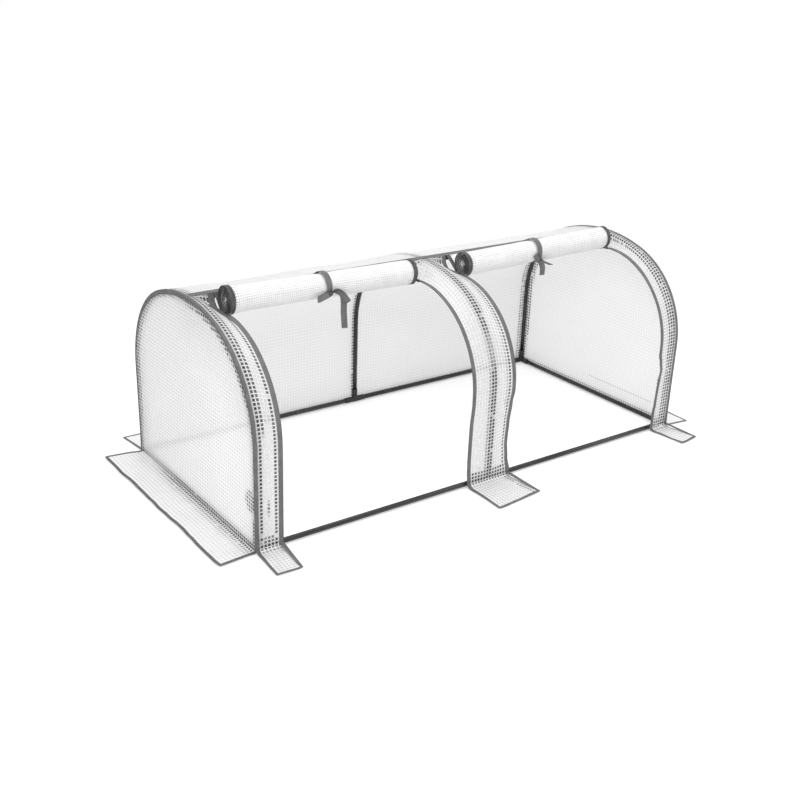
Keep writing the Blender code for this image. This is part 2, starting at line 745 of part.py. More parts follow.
# A ribbon whose middle line, width and thickness directions are given point by point
def add_ribbon(name, line, widths, normals):
    rings = []
    for point, wide, normal in zip(line, widths, normals):
        ring = []
        for a, b in ((-0.5, -0.5), (0.5, -0.5), (0.5, 0.5), (-0.5, 0.5)):
            ring.append(point + wide * RIBBON_WIDTH * a + normal * RIBBON * b)
        rings.append(ring)
    points, faces = skin(rings)
    return add_mesh(name, points, faces)


# The bow's loop, out to the left of the knot and back; its two ends lie one on the other in the knot
def loop_line(knot, outward, along):
    line = []
    for k in range(LOOP_STEPS + 1):
        turn = 2 * math.pi * k / LOOP_STEPS
        share = (1 - math.cos(turn)) / 2
        bulge = LOOP_DEPTH * math.sin(turn) + LOOP_LEAN * share + LOOP_PART * math.cos(turn / 2)
        line.append(knot - Vector((LOOP_REACH * share, 0, 0)) + outward * bulge + along * LOOP_DROP * share)
    return line


# A tail that falls from the knot and leans to the right less and less
def tail_line(knot, length, lean, forward):
    line = []
    for k in range(TAIL_STEPS + 1):
        share = k / TAIL_STEPS
        swing = lean * length * share * (1 - share / 2)
        line.append(knot + Vector((TAIL_SHIFT + swing, -forward, -length * share)))
    return line


# A ribbon tied in a bow round the roll: two straps, a knot, one loop and two tails
def add_tie(side, x):
    right = Vector((1, 0, 0))
    front = Vector((0, -1, 0))
    outward = Vector((0, math.cos(BOW_ANGLE), math.sin(BOW_ANGLE)))
    along = Vector((0, math.sin(BOW_ANGLE), -math.cos(BOW_ANGLE)))
    knot = roll_centre() + Vector((x, 0, 0)) + outward * (ROLL_RADIUS + FIT + KNOT_THICKNESS / 2)
    half = (KNOT_WIDTH / 2, KNOT_THICKNESS / 2, KNOT_HEIGHT / 2)
    body = box_between("door_tie_" + side, knot, (right, outward, along), [-h for h in half], half,
                       "tape", origin=door_hinge() + Vector((x, 0, 0)))

    for label, over in (("over", True), ("under", False)):
        band = add_band("strap_" + label + "_" + side, ribbon_line(over), RIBBON,
                        x - RIBBON_WIDTH / 2, x + RIBBON_WIDTH / 2)
        combine(body, band, "UNION")

    loop = loop_line(knot, outward, along)
    normals = []
    for k in range(len(loop)):
        step = loop[min(k + 1, LOOP_STEPS)] - loop[max(k - 1, 0)]
        normals.append(step.cross(along).normalized())
    combine(body, add_ribbon("loop_" + side, loop, [along] * len(loop), normals), "UNION")

    short = tail_line(knot, SHORT_TAIL, SHORT_TAIL_LEAN, -TAIL_PART)
    long = tail_line(knot, LONG_TAIL, LONG_TAIL_LEAN, TAIL_PART)
    for label, tail in (("short", short), ("long", long)):
        ribbon = add_ribbon("tail_" + label + "_" + side, tail, [right] * len(tail), [front] * len(tail))
        combine(body, ribbon, "UNION")


def build():
    clear_scene()
    add_hoops()
    add_rails()
    add_fittings()
    add_walls()
    add_strips()
    add_tapes()
    add_ground_sheets()
    for label, edge, bay in zip_edges():
        add_zip_tape(label, edge, bay)
        add_slider_and_pull(label, edge, bay)
    add_doors()
    for side, low, high in door_spans():
        add_tie(side, (low + high) / 2)


build()
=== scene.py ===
import bisect
import math

import bmesh
import bpy
from mathutils import Matrix, Vector, noise


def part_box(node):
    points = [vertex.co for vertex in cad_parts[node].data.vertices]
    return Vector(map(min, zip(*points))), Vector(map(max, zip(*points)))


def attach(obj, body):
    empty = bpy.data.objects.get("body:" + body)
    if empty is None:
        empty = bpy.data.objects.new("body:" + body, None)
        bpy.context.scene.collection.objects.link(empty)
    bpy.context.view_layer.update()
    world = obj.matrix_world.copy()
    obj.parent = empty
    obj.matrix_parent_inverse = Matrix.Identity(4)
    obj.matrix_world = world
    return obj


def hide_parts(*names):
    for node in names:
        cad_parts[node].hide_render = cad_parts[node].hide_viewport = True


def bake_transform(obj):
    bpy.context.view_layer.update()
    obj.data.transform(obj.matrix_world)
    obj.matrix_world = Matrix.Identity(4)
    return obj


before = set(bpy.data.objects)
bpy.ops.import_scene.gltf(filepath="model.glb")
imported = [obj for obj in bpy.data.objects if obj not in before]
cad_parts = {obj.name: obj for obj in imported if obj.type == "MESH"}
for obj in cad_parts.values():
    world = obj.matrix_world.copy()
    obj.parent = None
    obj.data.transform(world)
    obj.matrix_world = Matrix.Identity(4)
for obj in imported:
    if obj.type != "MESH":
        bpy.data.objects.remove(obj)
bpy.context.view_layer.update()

# Sizes read from the frame, in metres
legBox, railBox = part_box("hoop_left_front_leg"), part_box("front_rail_left")
_, halfWidth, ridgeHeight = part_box("end_panel_right")[1]
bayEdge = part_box("front_strip_middle")[1][0]
stripEdge = -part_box("front_strip_left")[1][0]
tubeRadius = (legBox[1][0] - legBox[0][0]) / 2
hoopX = -legBox[0][0] - tubeRadius
legY = -legBox[0][1] - tubeRadius
railZ = (railBox[0][2] + railBox[1][2]) / 2

# The arch across the tunnel: straight legs, round shoulders and a flatter crown
arch = dict(leg=0.370, shoulder=0.380)
shoulderY = halfWidth - arch["shoulder"]
above = ridgeHeight - arch["leg"] - arch["shoulder"]
sweep = 2 * (math.atan2(shoulderY, above) - math.pi / 4)
crownRadius = arch["shoulder"] + shoulderY / math.cos(sweep)
crownZ = ridgeHeight - crownRadius
shoulderRun = arch["shoulder"] * sweep
ridgeRun = arch["leg"] + shoulderRun + crownRadius * (math.pi / 2 - sweep)

weavePitch = 0.0137                 # one square of the film's woven grid
sheetInset = 0.0006                 # the middle of the film, in from its outer face
sheetEnd = 0.9987                   # strips and rear wall stop here, beside the end panels
seamGap = 0.0002                    # between film and the piece that it meets
floorGap = 0.0003                   # between film and the ground
root = "frame_and_cover"
sideways, backward, upright = Vector((1, 0, 0)), Vector((0, 1, 0)), Vector((0, 0, 1))


# The film line at a run from the front ground, and the direction that points out of the tunnel
def archAt(run, inset=0.0):
    front = run <= ridgeRun
    s = run if front else 2 * ridgeRun - run
    if s <= arch["leg"]:
        turn, radius, centre = 0.0, arch["shoulder"], (-shoulderY, s)
    elif s <= arch["leg"] + shoulderRun:
        turn = (s - arch["leg"]) / arch["shoulder"]
        radius, centre = arch["shoulder"], (-shoulderY, arch["leg"])
    else:
        turn = sweep + (s - arch["leg"] - shoulderRun) / crownRadius
        radius, centre = crownRadius, (0.0, crownZ)
    side = 1 if front else -1
    y, z = -side * math.cos(turn), math.sin(turn)
    out = Vector((0, y, z))
    return Vector((0, side * centre[0] + radius * y, centre[1] + radius * z)) - out * inset, out


# How far a point of an end panel lies inside the arch
def rimDistance(y, z):
    y = abs(y)
    if z <= arch["leg"]:
        return halfWidth - y
    if y > shoulderY and math.atan2(z - arch["leg"], y - shoulderY) <= sweep:
        return arch["shoulder"] - math.hypot(y - shoulderY, z - arch["leg"])
    return crownRadius - math.hypot(y, z - crownZ)


def archHeight(y):
    y = min(abs(y), halfWidth)
    if y > crownRadius * math.cos(sweep):
        return arch["leg"] + math.sqrt(max(arch["shoulder"] ** 2 - (y - shoulderY) ** 2, 0))
    return crownZ + math.sqrt(crownRadius ** 2 - y ** 2)


# The free edge of a front strip: a leg, an arc of its own, then a climb in front of the ridge tube.
# The last three say how close its places lie.
freeEdge = dict(radius=0.347, turn=96, steps=12, fall=0.015, chamfer=0.020, tapeFront=0.012, rounding=6,
                legPlaces=40, turnPlaces=6, climbPlace=0.002)


# A line in the YZ plane through close places
class Path:
    def __init__(self, places):
        self.places = places
        self.runs = [0.0]
        for a, b in zip(places, places[1:]):
            self.runs.append(self.runs[-1] + math.dist(a, b))

    def out(self, k):
        (y0, z0), (y1, z1) = self.places[max(k - 1, 0)], self.places[min(k + 1, len(self.places) - 1)]
        return Vector((0, z0 - z1, y1 - y0)).normalized()

    def at(self, run, inset=0.0):
        k, share = within(self.runs, run)
        out = self.out(k).lerp(self.out(k + 1), share).normalized()
        return Vector((0, *self.places[k])).lerp(Vector((0, *self.places[k + 1])), share) - out * inset, out


# The stretch of rising runs that holds a run, and how far along it the run lies
def within(runs, run):
    k = min(max(bisect.bisect_right(runs, run) - 1, 0), len(runs) - 2)
    return k, (run - runs[k]) / (runs[k + 1] - runs[k])


# The edge's path, and the numbers of its corner places
def traceEdge(look):
    radius = look["radius"]
    step = math.radians(look["turn"]) / look["steps"]
    places, corners = [(-halfWidth, 0.0)], [0]

    def lead(spots):
        places.extend(spots)
        corners.append(len(places) - 1)

    lead([(-halfWidth, arch["leg"] * k / look["legPlaces"]) for k in range(1, look["legPlaces"] + 1)])
    for corner in range(look["steps"]):
        turns = [step * (corner + k / look["turnPlaces"]) for k in range(1, look["turnPlaces"] + 1)]
        lead([(radius - halfWidth - radius * math.cos(t), arch["leg"] + radius * math.sin(t)) for t in turns])
    low = places[-1][1]
    tape, _ = archAt(ridgeRun - look["tapeFront"])
    climb = ((-look["fall"] - look["chamfer"], low), (-look["fall"], low + look["chamfer"]), (tape.y, tape.z),
             (0.0, ridgeHeight))
    for y, z in climb:
        y0, z0 = places[-1]
        count = max(int(math.dist((y, z), (y0, z0)) / look["climbPlace"]), 2)
        lead([(y0 + (y - y0) * k / count, z0 + (z - z0) * k / count) for k in range(1, count + 1)])
    for _ in range(look["rounding"]):
        inner = [((a[0] + 2 * b[0] + c[0]) / 4, (a[1] + 2 * b[1] + c[1]) / 4)
                 for a, b, c in zip(places, places[1:], places[2:])]
        places = places[:1] + inner + places[-1:]
    return Path(places), corners


edgePath, edgeCorners = traceEdge(freeEdge)


# Runs along the arch that lie beside the corners of the free edge: the foot and the leg's top, nine
# steps round the shoulder, two on the crown, four up to the ridge tape and the ridge
def besideCorners():
    crownStep = (ridgeRun - arch["leg"] - shoulderRun) / 3
    last = ridgeRun - crownStep
    tapeFront = ridgeRun - freeEdge["tapeFront"]
    runs = [0.0, arch["leg"]] + [arch["leg"] + shoulderRun * k / 9 for k in range(1, 10)]
    runs += [last - crownStep, last]
    return runs + [last + (tapeFront - last) * k / 4 for k in range(1, 5)] + [ridgeRun]


archCorners = besideCorners()


def besideRun(run):
    k, share = within(archCorners, run)
    low, high = (edgePath.runs[edgeCorners[j]] for j in (k, k + 1))
    return low + (high - low) * share


def smooth(value, low, high):
    share = min(max((value - low) / (high - low), 0), 1)
    return share * share * (3 - 2 * share)


# A value read smoothly off a list of (place, value) pairs
def between(profile, value):
    if value <= profile[0][0]:
        return profile[0][1]
    for (a, low), (b, high) in zip(profile, profile[1:]):
        if value <= b:
            return low + (high - low) * smooth(value, a, b)
    return profile[-1][1]


def spread(low, high, step):
    count = max(int(round((high - low) / step)), 1)
    return [low + (high - low) * k / count for k in range(count + 1)]


def ripple(x, y, z, size):
    return noise.noise(Vector((x, y, z)) / size)


# Materials

class Nodes:
    def __init__(self, owner):
        owner.use_nodes = True
        self.tree = owner.node_tree
        self.tree.nodes.clear()
        self.column = 0

    # An input goes by its name, with _ for each space, or by its number after an i
    def add(self, kind, settings=None, **inputs):
        made = self.tree.nodes.new(kind)
        made.location = (self.column, 0)
        self.column += 180
        for key, value in (settings or {}).items():
            setattr(made, key, value)
        for key, value in inputs.items():
            if value is not None:
                self.feed(made.inputs[int(key[1:]) if key[1:].isdigit() else key.replace("_", " ")], value)
        return made

    # A colour written as one number is a grey
    def feed(self, socket, value):
        if isinstance(value, bpy.types.NodeSocket):
            self.tree.links.new(value, socket)
        elif socket.type == "RGBA":
            socket.default_value = (*(value if isinstance(value, tuple) else (value,) * 3), 1.0)
        else:
            socket.default_value = value

    def math(self, operation, a, b=0.0):
        return self.add("ShaderNodeMath", dict(operation=operation), i0=a, i1=b).outputs[0]

    def ramp(self, value, low, high, toLow=0.0, toHigh=1.0):
        return self.add("ShaderNodeMapRange", dict(interpolation_type="SMOOTHSTEP"),
                        i0=value, i1=low, i2=high, i3=toLow, i4=toHigh).outputs[0]

    def blend(self, share, a, b):
        return self.add("ShaderNodeMix", dict(data_type="RGBA"), i0=share, i6=a, i7=b).outputs[2]

    def noise(self, scale, detail=3.0, rough=0.55):
        return self.add("ShaderNodeTexNoise", i0=self.place(), i2=scale, i3=detail, i4=rough).outputs["Fac"]

    def place(self):
        return self.add("ShaderNodeTexCoord").outputs["Object"]

    def uv(self, name):
        made = self.add("ShaderNodeUVMap", dict(uv_map=name))
        return self.add("ShaderNodeSeparateXYZ", i0=made.outputs[0]).outputs[:2]

    def bump(self, height, distance, strength, normal=None):
        return self.add("ShaderNodeBump", Strength=strength, Distance=distance, Height=height,
                        Normal=normal).outputs[0]

    def principled(self, colour, roughness, normal=None, **more):
        return self.add("ShaderNodeBsdfPrincipled", Base_Color=colour, Roughness=roughness, Normal=normal,
                        **more).outputs[0]

    def mixShader(self, share, a, b):
        return self.add("ShaderNodeMixShader", i0=share, i1=a, i2=b).outputs[0]

    # 1 where the eye sees the surface, straight on or in metal or glass
    def seen(self):
        path = self.add("ShaderNodeLightPath").outputs
        straight = self.math("MAXIMUM", path["Is Camera Ray"], path["Is Glossy Ray"])
        return self.math("MAXIMUM", straight, path["Is Transmission Ray"])

    def finish(self, surface, kind="ShaderNodeOutputMaterial"):
        self.add(kind, Surface=surface)


def newMaterial(name):
    material = bpy.data.materials.new(name)
    return material, Nodes(material)


# Clear film with a white grid woven into it. Where tube or tape lies right at its back, the clear squares
# are painted dark, as painted shade; further things show only faintly through the haze.
def filmMaterial(name, look):
    material, n = newMaterial(name)
    holes = []
    for value in n.uv("weave"):
        middle = n.math("ABSOLUTE", n.math("SUBTRACT", n.math("FRACT", value), 0.5))
        holes.append(n.ramp(middle, look["square"] + look["soft"], look["square"] - look["soft"]))
    square = n.math("MULTIPLY", *holes)
    # Painted shade: a face's attribute says how far its clear squares are painted toward the shade grey
    paintedShade = n.add("ShaderNodeAttribute", dict(attribute_name="paintedShade")).outputs["Fac"]
    cell = n.blend(n.ramp(n.noise(look["cloudScale"]), 0.3, 0.7), look["cell"], look["cellPale"])
    colour = n.blend(square, look["thread"], cell)
    colour = n.blend(n.math("MULTIPLY", square, paintedShade), colour, look["behind"])
    normal = n.bump(n.noise(look["creaseScale"], 2.0), look["creaseDepth"], 0.5)
    normal = n.bump(n.math("SUBTRACT", 1.0, square), look["threadDepth"], 0.6, normal)
    front = n.principled(colour, look["roughness"], normal, Specular_IOR_Level=look["shine"])
    glow = n.add("ShaderNodeBsdfTranslucent", Color=colour)
    sheet = n.mixShader(look["glow"], front, glow.outputs[0])
    if look["clear"]:
        clear = n.math("MULTIPLY", n.math("MULTIPLY", square, look["clear"]), n.math("SUBTRACT", 1.0, paintedShade))
        sheet = n.mixShader(clear, sheet, n.add("ShaderNodeBsdfTransparent").outputs[0])
    n.finish(sheet)
    return material


stripLook = dict(thread=0.87, cell=0.75, cellPale=0.82, behind=0.014, square=0.33, soft=0.04, cloudScale=7.0,
                 roughness=0.30, shine=0.45, creaseScale=9.0, creaseDepth=0.02, threadDepth=0.0004, glow=0.48,
                 clear=0.26)
groundLook = dict(stripLook, thread=0.99, cell=0.94, cellPale=0.98, glow=0.02, clear=0.20)
# One film throughout: its thread and cell greys differ from sheet to sheet, set for how light or dark each
# sheet renders, which is painted light and shade. The flap film is the ground film painted darker, and the
# rolled film's grey cells are painted shade from the turns around them.
films = dict(
    filmOverHoops=stripLook,
    filmEndPanel=dict(stripLook, thread=0.95, cell=0.87, cellPale=0.91, creaseScale=5.0, creaseDepth=0.03),
    filmRearWall=dict(stripLook, thread=0.88, cell=0.84, cellPale=0.87, roughness=0.18, shine=0.90,
                      clear=0.08),
    filmOnGround=groundLook,
    filmOfFlap=dict(groundLook, thread=0.86, cell=0.74, cellPale=0.79),
    filmRolled=dict(stripLook, thread=0.96, cell=0.66, cellPale=0.82, cloudScale=16.0, glow=0.08, clear=0.0,
                    square=0.29))


# Woven tape with a stitched seam along each edge; the map runs along the tape and, from -1 to 1,
# from one seam to the other
def tapeMaterial(name, look):
    material, n = newMaterial(name)
    along, over = n.uv("tape")
    rib = n.math("SINE", n.math("MULTIPLY", along, 2 * math.pi / look["ribPitch"]))
    warp = n.math("SINE", n.math("MULTIPLY", over, look["warps"] * math.pi))
    weave = n.math("MULTIPLY", rib, warp)
    wear = n.noise(look["wearScale"], 4.0)
    base = n.blend(n.ramp(wear, 0.35, 0.65), look["dark"], look["pale"])
    base = n.blend(n.ramp(weave, -1.0, 1.0, 0.0, 0.35), base, look["dark"])
    fromSeam = n.math("ABSOLUTE", n.math("SUBTRACT", n.math("ABSOLUTE", over), 1.0))
    seam = n.ramp(fromSeam, look["seamWidth"] * 1.3, look["seamWidth"] * 0.7)
    step = n.math("FRACT", n.math("DIVIDE", along, look["stitch"]))
    stitch = n.math("MULTIPLY", seam, n.ramp(step, 0.22, 0.32))
    colour = n.blend(n.math("MULTIPLY", stitch, look["stitchShow"]), base, look["stitchColour"])
    height = n.math("ADD", n.math("MULTIPLY", weave, 0.25), stitch)
    normal = n.bump(height, look["depth"], 0.7)
    n.finish(n.principled(colour, look["roughness"], normal, Specular_IOR_Level=0.3))
    return material


tapeLook = dict(dark=(0.130, 0.130, 0.132), pale=(0.175, 0.175, 0.177), ribPitch=0.0016, warps=5.0,
                wearScale=30.0, stitch=0.0036, seamWidth=0.09, stitchColour=(0.27, 0.27, 0.275),
                stitchShow=0.55, depth=0.0003, roughness=0.78)
zipLook = dict(tapeLook, dark=(0.145, 0.145, 0.147), pale=(0.185, 0.185, 0.187))
tapes = dict(
    tapeWoven=tapeLook,
    zipWoven=zipLook,
    # The zip tape painted darker, as painted shade: for its turns inside a roll and for the gathered knot
    layerWoven=dict(zipLook, dark=(0.060, 0.060, 0.061), pale=(0.110, 0.110, 0.112)),
    ribbonWoven=dict(zipLook, ribPitch=0.0012, warps=8.0, stitchShow=0.0))


# A fine orange peel or grain over a colour, a little rubbed
def coatMaterial(name, look):
    material, n = newMaterial(name)
    rub = n.noise(look["rubScale"], 5.0)
    colour = n.blend(n.ramp(rub, 0.45, 0.75), look["colour"], look["rubbed"])
    rough = n.ramp(rub, 0.3, 0.7, look["roughness"] - 0.05, look["roughness"] + 0.07)
    normal = n.bump(n.noise(look["peelScale"], 2.0), look["depth"], 0.5)
    n.finish(n.principled(colour, rough, normal, Metallic=look["metal"]))
    return material


coats = dict(
    tubeCoat=dict(colour=0.012, rubbed=0.022, roughness=0.26, metal=0.0, peelScale=900.0, rubScale=14.0,
                  depth=0.0001),
    socketPlastic=dict(colour=0.016, rubbed=0.028, roughness=0.50, metal=0.0, peelScale=1500.0, rubScale=25.0,
                       depth=0.0003),
    sliderPaint=dict(colour=(0.040, 0.040, 0.041), rubbed=(0.070, 0.070, 0.071), roughness=0.38, metal=0.0,
                     peelScale=600.0, rubScale=160.0, depth=0.0001),
    pullMetal=dict(colour=(0.55, 0.55, 0.56), rubbed=(0.66, 0.66, 0.67), roughness=0.34, metal=1.0,
                   peelScale=600.0, rubScale=160.0, depth=0.0001),
    toothPlastic=dict(colour=(0.080, 0.080, 0.082), rubbed=(0.125, 0.125, 0.127), roughness=0.42, metal=0.0,
                      peelScale=400.0, rubScale=60.0, depth=0.0001))

finishes = {}
for make, looks in ((filmMaterial, films), (tapeMaterial, tapes), (coatMaterial, coats)):
    finishes.update({name: make(name, look) for name, look in looks.items()})


# Mesh building

def facesOutward(mesh, merge=0.0):
    shell = bmesh.new()
    shell.from_mesh(mesh)
    if merge:
        bmesh.ops.remove_doubles(shell, verts=shell.verts, dist=merge)
    bmesh.ops.recalc_face_normals(shell, faces=shell.faces)
    shell.to_mesh(mesh)
    shell.free()


def addPiece(name, points, faces, finish, body, slotName, maps=None, mapName="tape", paintedShade=None, nodes=()):
    mesh = bpy.data.meshes.new(name)
    mesh.from_pydata(points, [], faces)
    mesh.materials.append(finishes[finish])
    if maps:
        layer = mesh.uv_layers.new(name=mapName)
        layer.data.foreach_set("uv", [value for corners in maps for pair in corners for value in pair])
    # Each face's painted shade, kept as an attribute that darkens the film's colour
    if paintedShade:
        mesh.attributes.new("paintedShade", "FLOAT", "FACE").data.foreach_set("value", paintedShade)
    facesOutward(mesh)
    mesh.shade_smooth()
    mesh.set_sharp_from_angle(angle=math.radians(40))
    piece = bpy.data.objects.new(name, mesh)
    bpy.context.scene.collection.objects.link(piece)
    if body:
        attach(piece, body)
    if nodes:
        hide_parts(*nodes)
    return piece


# Rings skinned one to the next. The map runs along the rings in metres and round the first ring,
# scaled so that the seams of a tape of that width lie at -1 and 1.
def loft(rings, capped=True, seamHalf=0.005):
    count = len(rings[0])
    alongs = [0.0]
    for a, b in zip(rings, rings[1:]):
        alongs.append(alongs[-1] + ((b[0] + b[count // 2]) - (a[0] + a[count // 2])).length / 2)
    around = [0.0]
    for k in range(count):
        around.append(around[-1] + (rings[0][(k + 1) % count] - rings[0][k]).length)
    overs = [(a - around[count // 2] / 2) / seamHalf for a in around]
    points = [p for ring in rings for p in ring]
    faces, maps = [], []
    for row in range(len(rings) - 1):
        for k in range(count):
            a = row * count + k
            b = row * count + (k + 1) % count
            faces.append((a, b, b + count, a + count))
            maps.append(((alongs[row], overs[k]), (alongs[row], overs[k + 1]),
                         (alongs[row + 1], overs[k + 1]), (alongs[row + 1], overs[k])))
    if capped:
        for start in (0, (len(rings) - 1) * count):
            faces.append(tuple(range(start, start + count)))
            maps.append(((0.0, 0.0),) * count)
    return points, faces, maps


# A film sheet over a net of stations. Its map counts the woven squares, and each square has one
# value for how much painted shade it takes.
def filmSheet(name, us, vs, place, squares, finish, body, paintedShade, nodes=()):
    points = [place(u, v) for u in us for v in vs]
    marks = [squares(u, v) for u in us for v in vs]
    faces, maps, shades = [], [], []
    rows = len(vs)
    for i in range(len(us) - 1):
        for j in range(rows - 1):
            corners = []
            for c in (i * rows + j, (i + 1) * rows + j, (i + 1) * rows + j + 1, i * rows + j + 1):
                if all((points[c] - points[d]).length > 0.00001 for d in corners):
                    corners.append(c)
            if len(corners) < 3:
                continue
            faces.append(tuple(corners))
            maps.append([marks[c] for c in corners])
            a, b = squares((us[i] + us[i + 1]) / 2, (vs[j] + vs[j + 1]) / 2)
            shades.append(min(max(paintedShade(math.floor(a), math.floor(b)), 0.0), 1.0))
    return addPiece(name, points, faces, finish, body, "film", maps, "weave", shades, nodes)


# Stations at the edges of the woven squares, each square in a few parts, with none close to an end
def squareStations(low, high, shift, parts, clear=0.0008):
    step = weavePitch / parts
    stations = [low, high]
    k = math.ceil((low - shift) / step)
    while shift + k * step < high:
        spot = shift + k * step
        if spot - low > clear and high - spot > clear:
            stations.append(spot)
        k += 1
    return sorted(stations)


# Squares in a row of painted shade differ a little, and a few stay clear
def speckle(i, j, seed, least=0.88, gaps=0.025):
    chance, shade = ((1 + noise.cell(Vector((i + 0.5, j + 0.5, seed + shift)))) / 2 for shift in (0.5, 7.5))
    return 0.15 if chance < gaps else least + (1 - least) * shade


# A flat tape that follows a line, given its width and thickness directions point by point, and as
# many widths or one. Its edges are a little rounded and thinner than its middle.
def tapeAlong(name, line, wides, normals, width, thickness, finish, body, slotName, nodes=(), inset=0.0025):
    profile = ((-0.5, 0.0), (-0.46, 0.36), (-0.2, 0.5), (0.2, 0.5), (0.46, 0.36),
               (0.5, 0.0), (0.46, -0.36), (0.2, -0.5), (-0.2, -0.5), (-0.46, -0.36))
    widths = width if isinstance(width, list) else [width] * len(line)
    rings = []
    for point, wide, normal, w in zip(line, wides, normals, widths):
        rings.append([point + wide * a * w + normal * b * thickness for a, b in profile])
    points, faces, maps = loft(rings, seamHalf=max(widths[0] / 2 - inset, 0.002))
    return addPiece(name, points, faces, finish, body, slotName, maps, nodes=nodes)


print("materials ready")


# Camera, floor and light

def addCamera(look):
    turn, tilt, roll = (math.radians(look[key]) for key in ("azimuth", "elevation", "roll"))
    forward = Vector((math.sin(turn) * math.cos(tilt), math.cos(turn) * math.cos(tilt), -math.sin(tilt)))
    level = Vector((math.cos(turn), -math.sin(turn), 0))
    upward = level.cross(forward)
    right = level * math.cos(roll) + upward * math.sin(roll)
    up = upward * math.cos(roll) - level * math.sin(roll)
    lens = bpy.data.cameras.new("camera")
    lens.lens = look["lens"]
    lens.sensor_width = 36
    camera = bpy.data.objects.new("camera", lens)
    place = forward * -look["distance"] + right * look["right"] + up * look["up"]
    camera.matrix_world = Matrix.Translation(place) @ Matrix((right, up, -forward)).transposed().to_4x4()
    bpy.context.scene.collection.objects.link(camera)
    bpy.context.scene.camera = camera


# Even light from all round, and plain white where the eye sees it
def addWorld(look):
    world = bpy.data.worlds.new("studio")
    bpy.context.scene.world = world
    n = Nodes(world)
    lit = n.add("ShaderNodeBackground", Color=look["colour"], Strength=look["strength"])
    white = n.add("ShaderNodeBackground", Color=1.0)
    n.finish(n.mixShader(n.seen(), lit.outputs[0], white.outputs[0]), "ShaderNodeOutputWorld")


def addLamp(name, look):
    lamp = bpy.data.lights.new(name, "AREA")
    lamp.shape = "RECTANGLE"
    lamp.size, lamp.size_y = look["size"]
    lamp.energy = look["power"]
    holder = bpy.data.objects.new(name, lamp)
    place = Vector(look["place"])
    holder.location = place
    holder.rotation_euler = (Vector(look["aim"]) - place).to_track_quat("-Z", "Y").to_euler()
    bpy.context.scene.collection.objects.link(holder)


# A pale floor that keeps the shadow near the object and runs out to plain white
def addFloor(look):
    half = look["size"]
    corners = [(-half, -half, 0), (half, -half, 0), (half, half, 0), (-half, half, 0)]
    mesh = bpy.data.meshes.new("floor")
    mesh.from_pydata(corners, [], [(0, 1, 2, 3)])
    material, n = newMaterial("floorPale")
    colour = n.blend(n.noise(0.8, 2.0), look["colour"], look["colourTwo"])
    base = n.principled(colour, 0.9, Specular_IOR_Level=0.0)
    lift = n.add("ShaderNodeEmission", Strength=look["lift"])
    lifted = n.add("ShaderNodeAddShader", i0=base, i1=lift.outputs[0])
    white = n.add("ShaderNodeEmission")
    away = n.add("ShaderNodeVectorMath", dict(operation="LENGTH"), i0=n.place()).outputs["Value"]
    shown = n.mixShader(n.ramp(away, look["near"], look["far"]), lifted.outputs[0], white.outputs[0])
    n.finish(n.mixShader(n.seen(), base, shown))
    mesh.materials.append(material)
    floor = bpy.data.objects.new("floor", mesh)
    floor.location.z = -look["below"]
    bpy.context.scene.collection.objects.link(floor)


bpy.context.scene.view_settings.view_transform = "Standard"
addCamera(dict(azimuth=36.3954, elevation=22.6328, roll=1.9983, lens=48.744, distance=4.4878,
               right=-0.0629, up=0.1559))
addWorld(dict(colour=1.0, strength=0.72))
addFloor(dict(size=14.0, colour=0.86, colourTwo=0.88, lift=0.30, near=1.6, far=2.8, below=0.0005))
addLamp("keyLamp", dict(size=(2.6, 2.0), power=70, place=(-2.6, -3.2, 3.6), aim=(-0.2, 0, 0.3)))
addLamp("topLamp", dict(size=(3.2, 2.0), power=45, place=(0.4, 0.3, 3.6), aim=(0, 0, 0)))
addLamp("sideLamp", dict(size=(1.6, 1.6), power=15, place=(3.4, -1.8, 2.0), aim=(0.4, 0, 0.3)))
print("stage ready")


# Tubes and fittings

tube = dict(wall=0.0008, inset=0.0133, rounding=0.0004, roundingShare=0.0006, neck=0.028, neckSlope=0.003,
            chamfer=0.0003, archStart=0.3433, archStop=0.0136, archStep=0.012)
neckRadius = tubeRadius - tube["wall"] - tube["chamfer"]


def ringRound(centre, side, up, radius, count=24):
    turns = [2 * math.pi * k / count for k in range(count)]
    return [centre + side * radius * math.cos(t) + up * radius * math.sin(t) for t in turns]


# An open tube through stations of (centre, side, up, outer radius, inner radius)
def tubePiece(node, stations):
    outer = [ringRound(c, s, u, r) for c, s, u, r, _ in stations]
    inner = [ringRound(c, s, u, r) for c, s, u, _, r in reversed(stations)]
    points, faces, _ = loft(outer + inner + outer[:1], capped=False)
    piece = addPiece(node + "_tube", points, faces, "tubeCoat", root, "tube", nodes=[node])
    facesOutward(piece.data, merge=0.000002)


# A leg ends at the top in a neck that goes into its arch tube
def addLeg(node, x, y):
    low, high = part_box(node)[0][2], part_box(node)[1][2]
    neck, chamfer = high - tube["neck"], tube["chamfer"]
    profile = ((low, tubeRadius), (neck - 0.0005, tubeRadius), (neck, tubeRadius - chamfer),
               (neck + tube["neckSlope"], neckRadius), (high - 0.001, neckRadius),
               (high, neckRadius - chamfer))
    tubePiece(node, [(Vector((x, y, z)), sideways, backward, r, r - tube["wall"]) for z, r in profile])


def addArchTube(node, x, front):
    stations = []
    for run in spread(tube["archStart"], ridgeRun - tube["archStop"], tube["archStep"]):
        centre, out = archAt(run if front else 2 * ridgeRun - run, tube["inset"])
        stations.append((centre + sideways * x, sideways, out, tubeRadius, tubeRadius - tube["wall"]))
    tubePiece(node, stations)


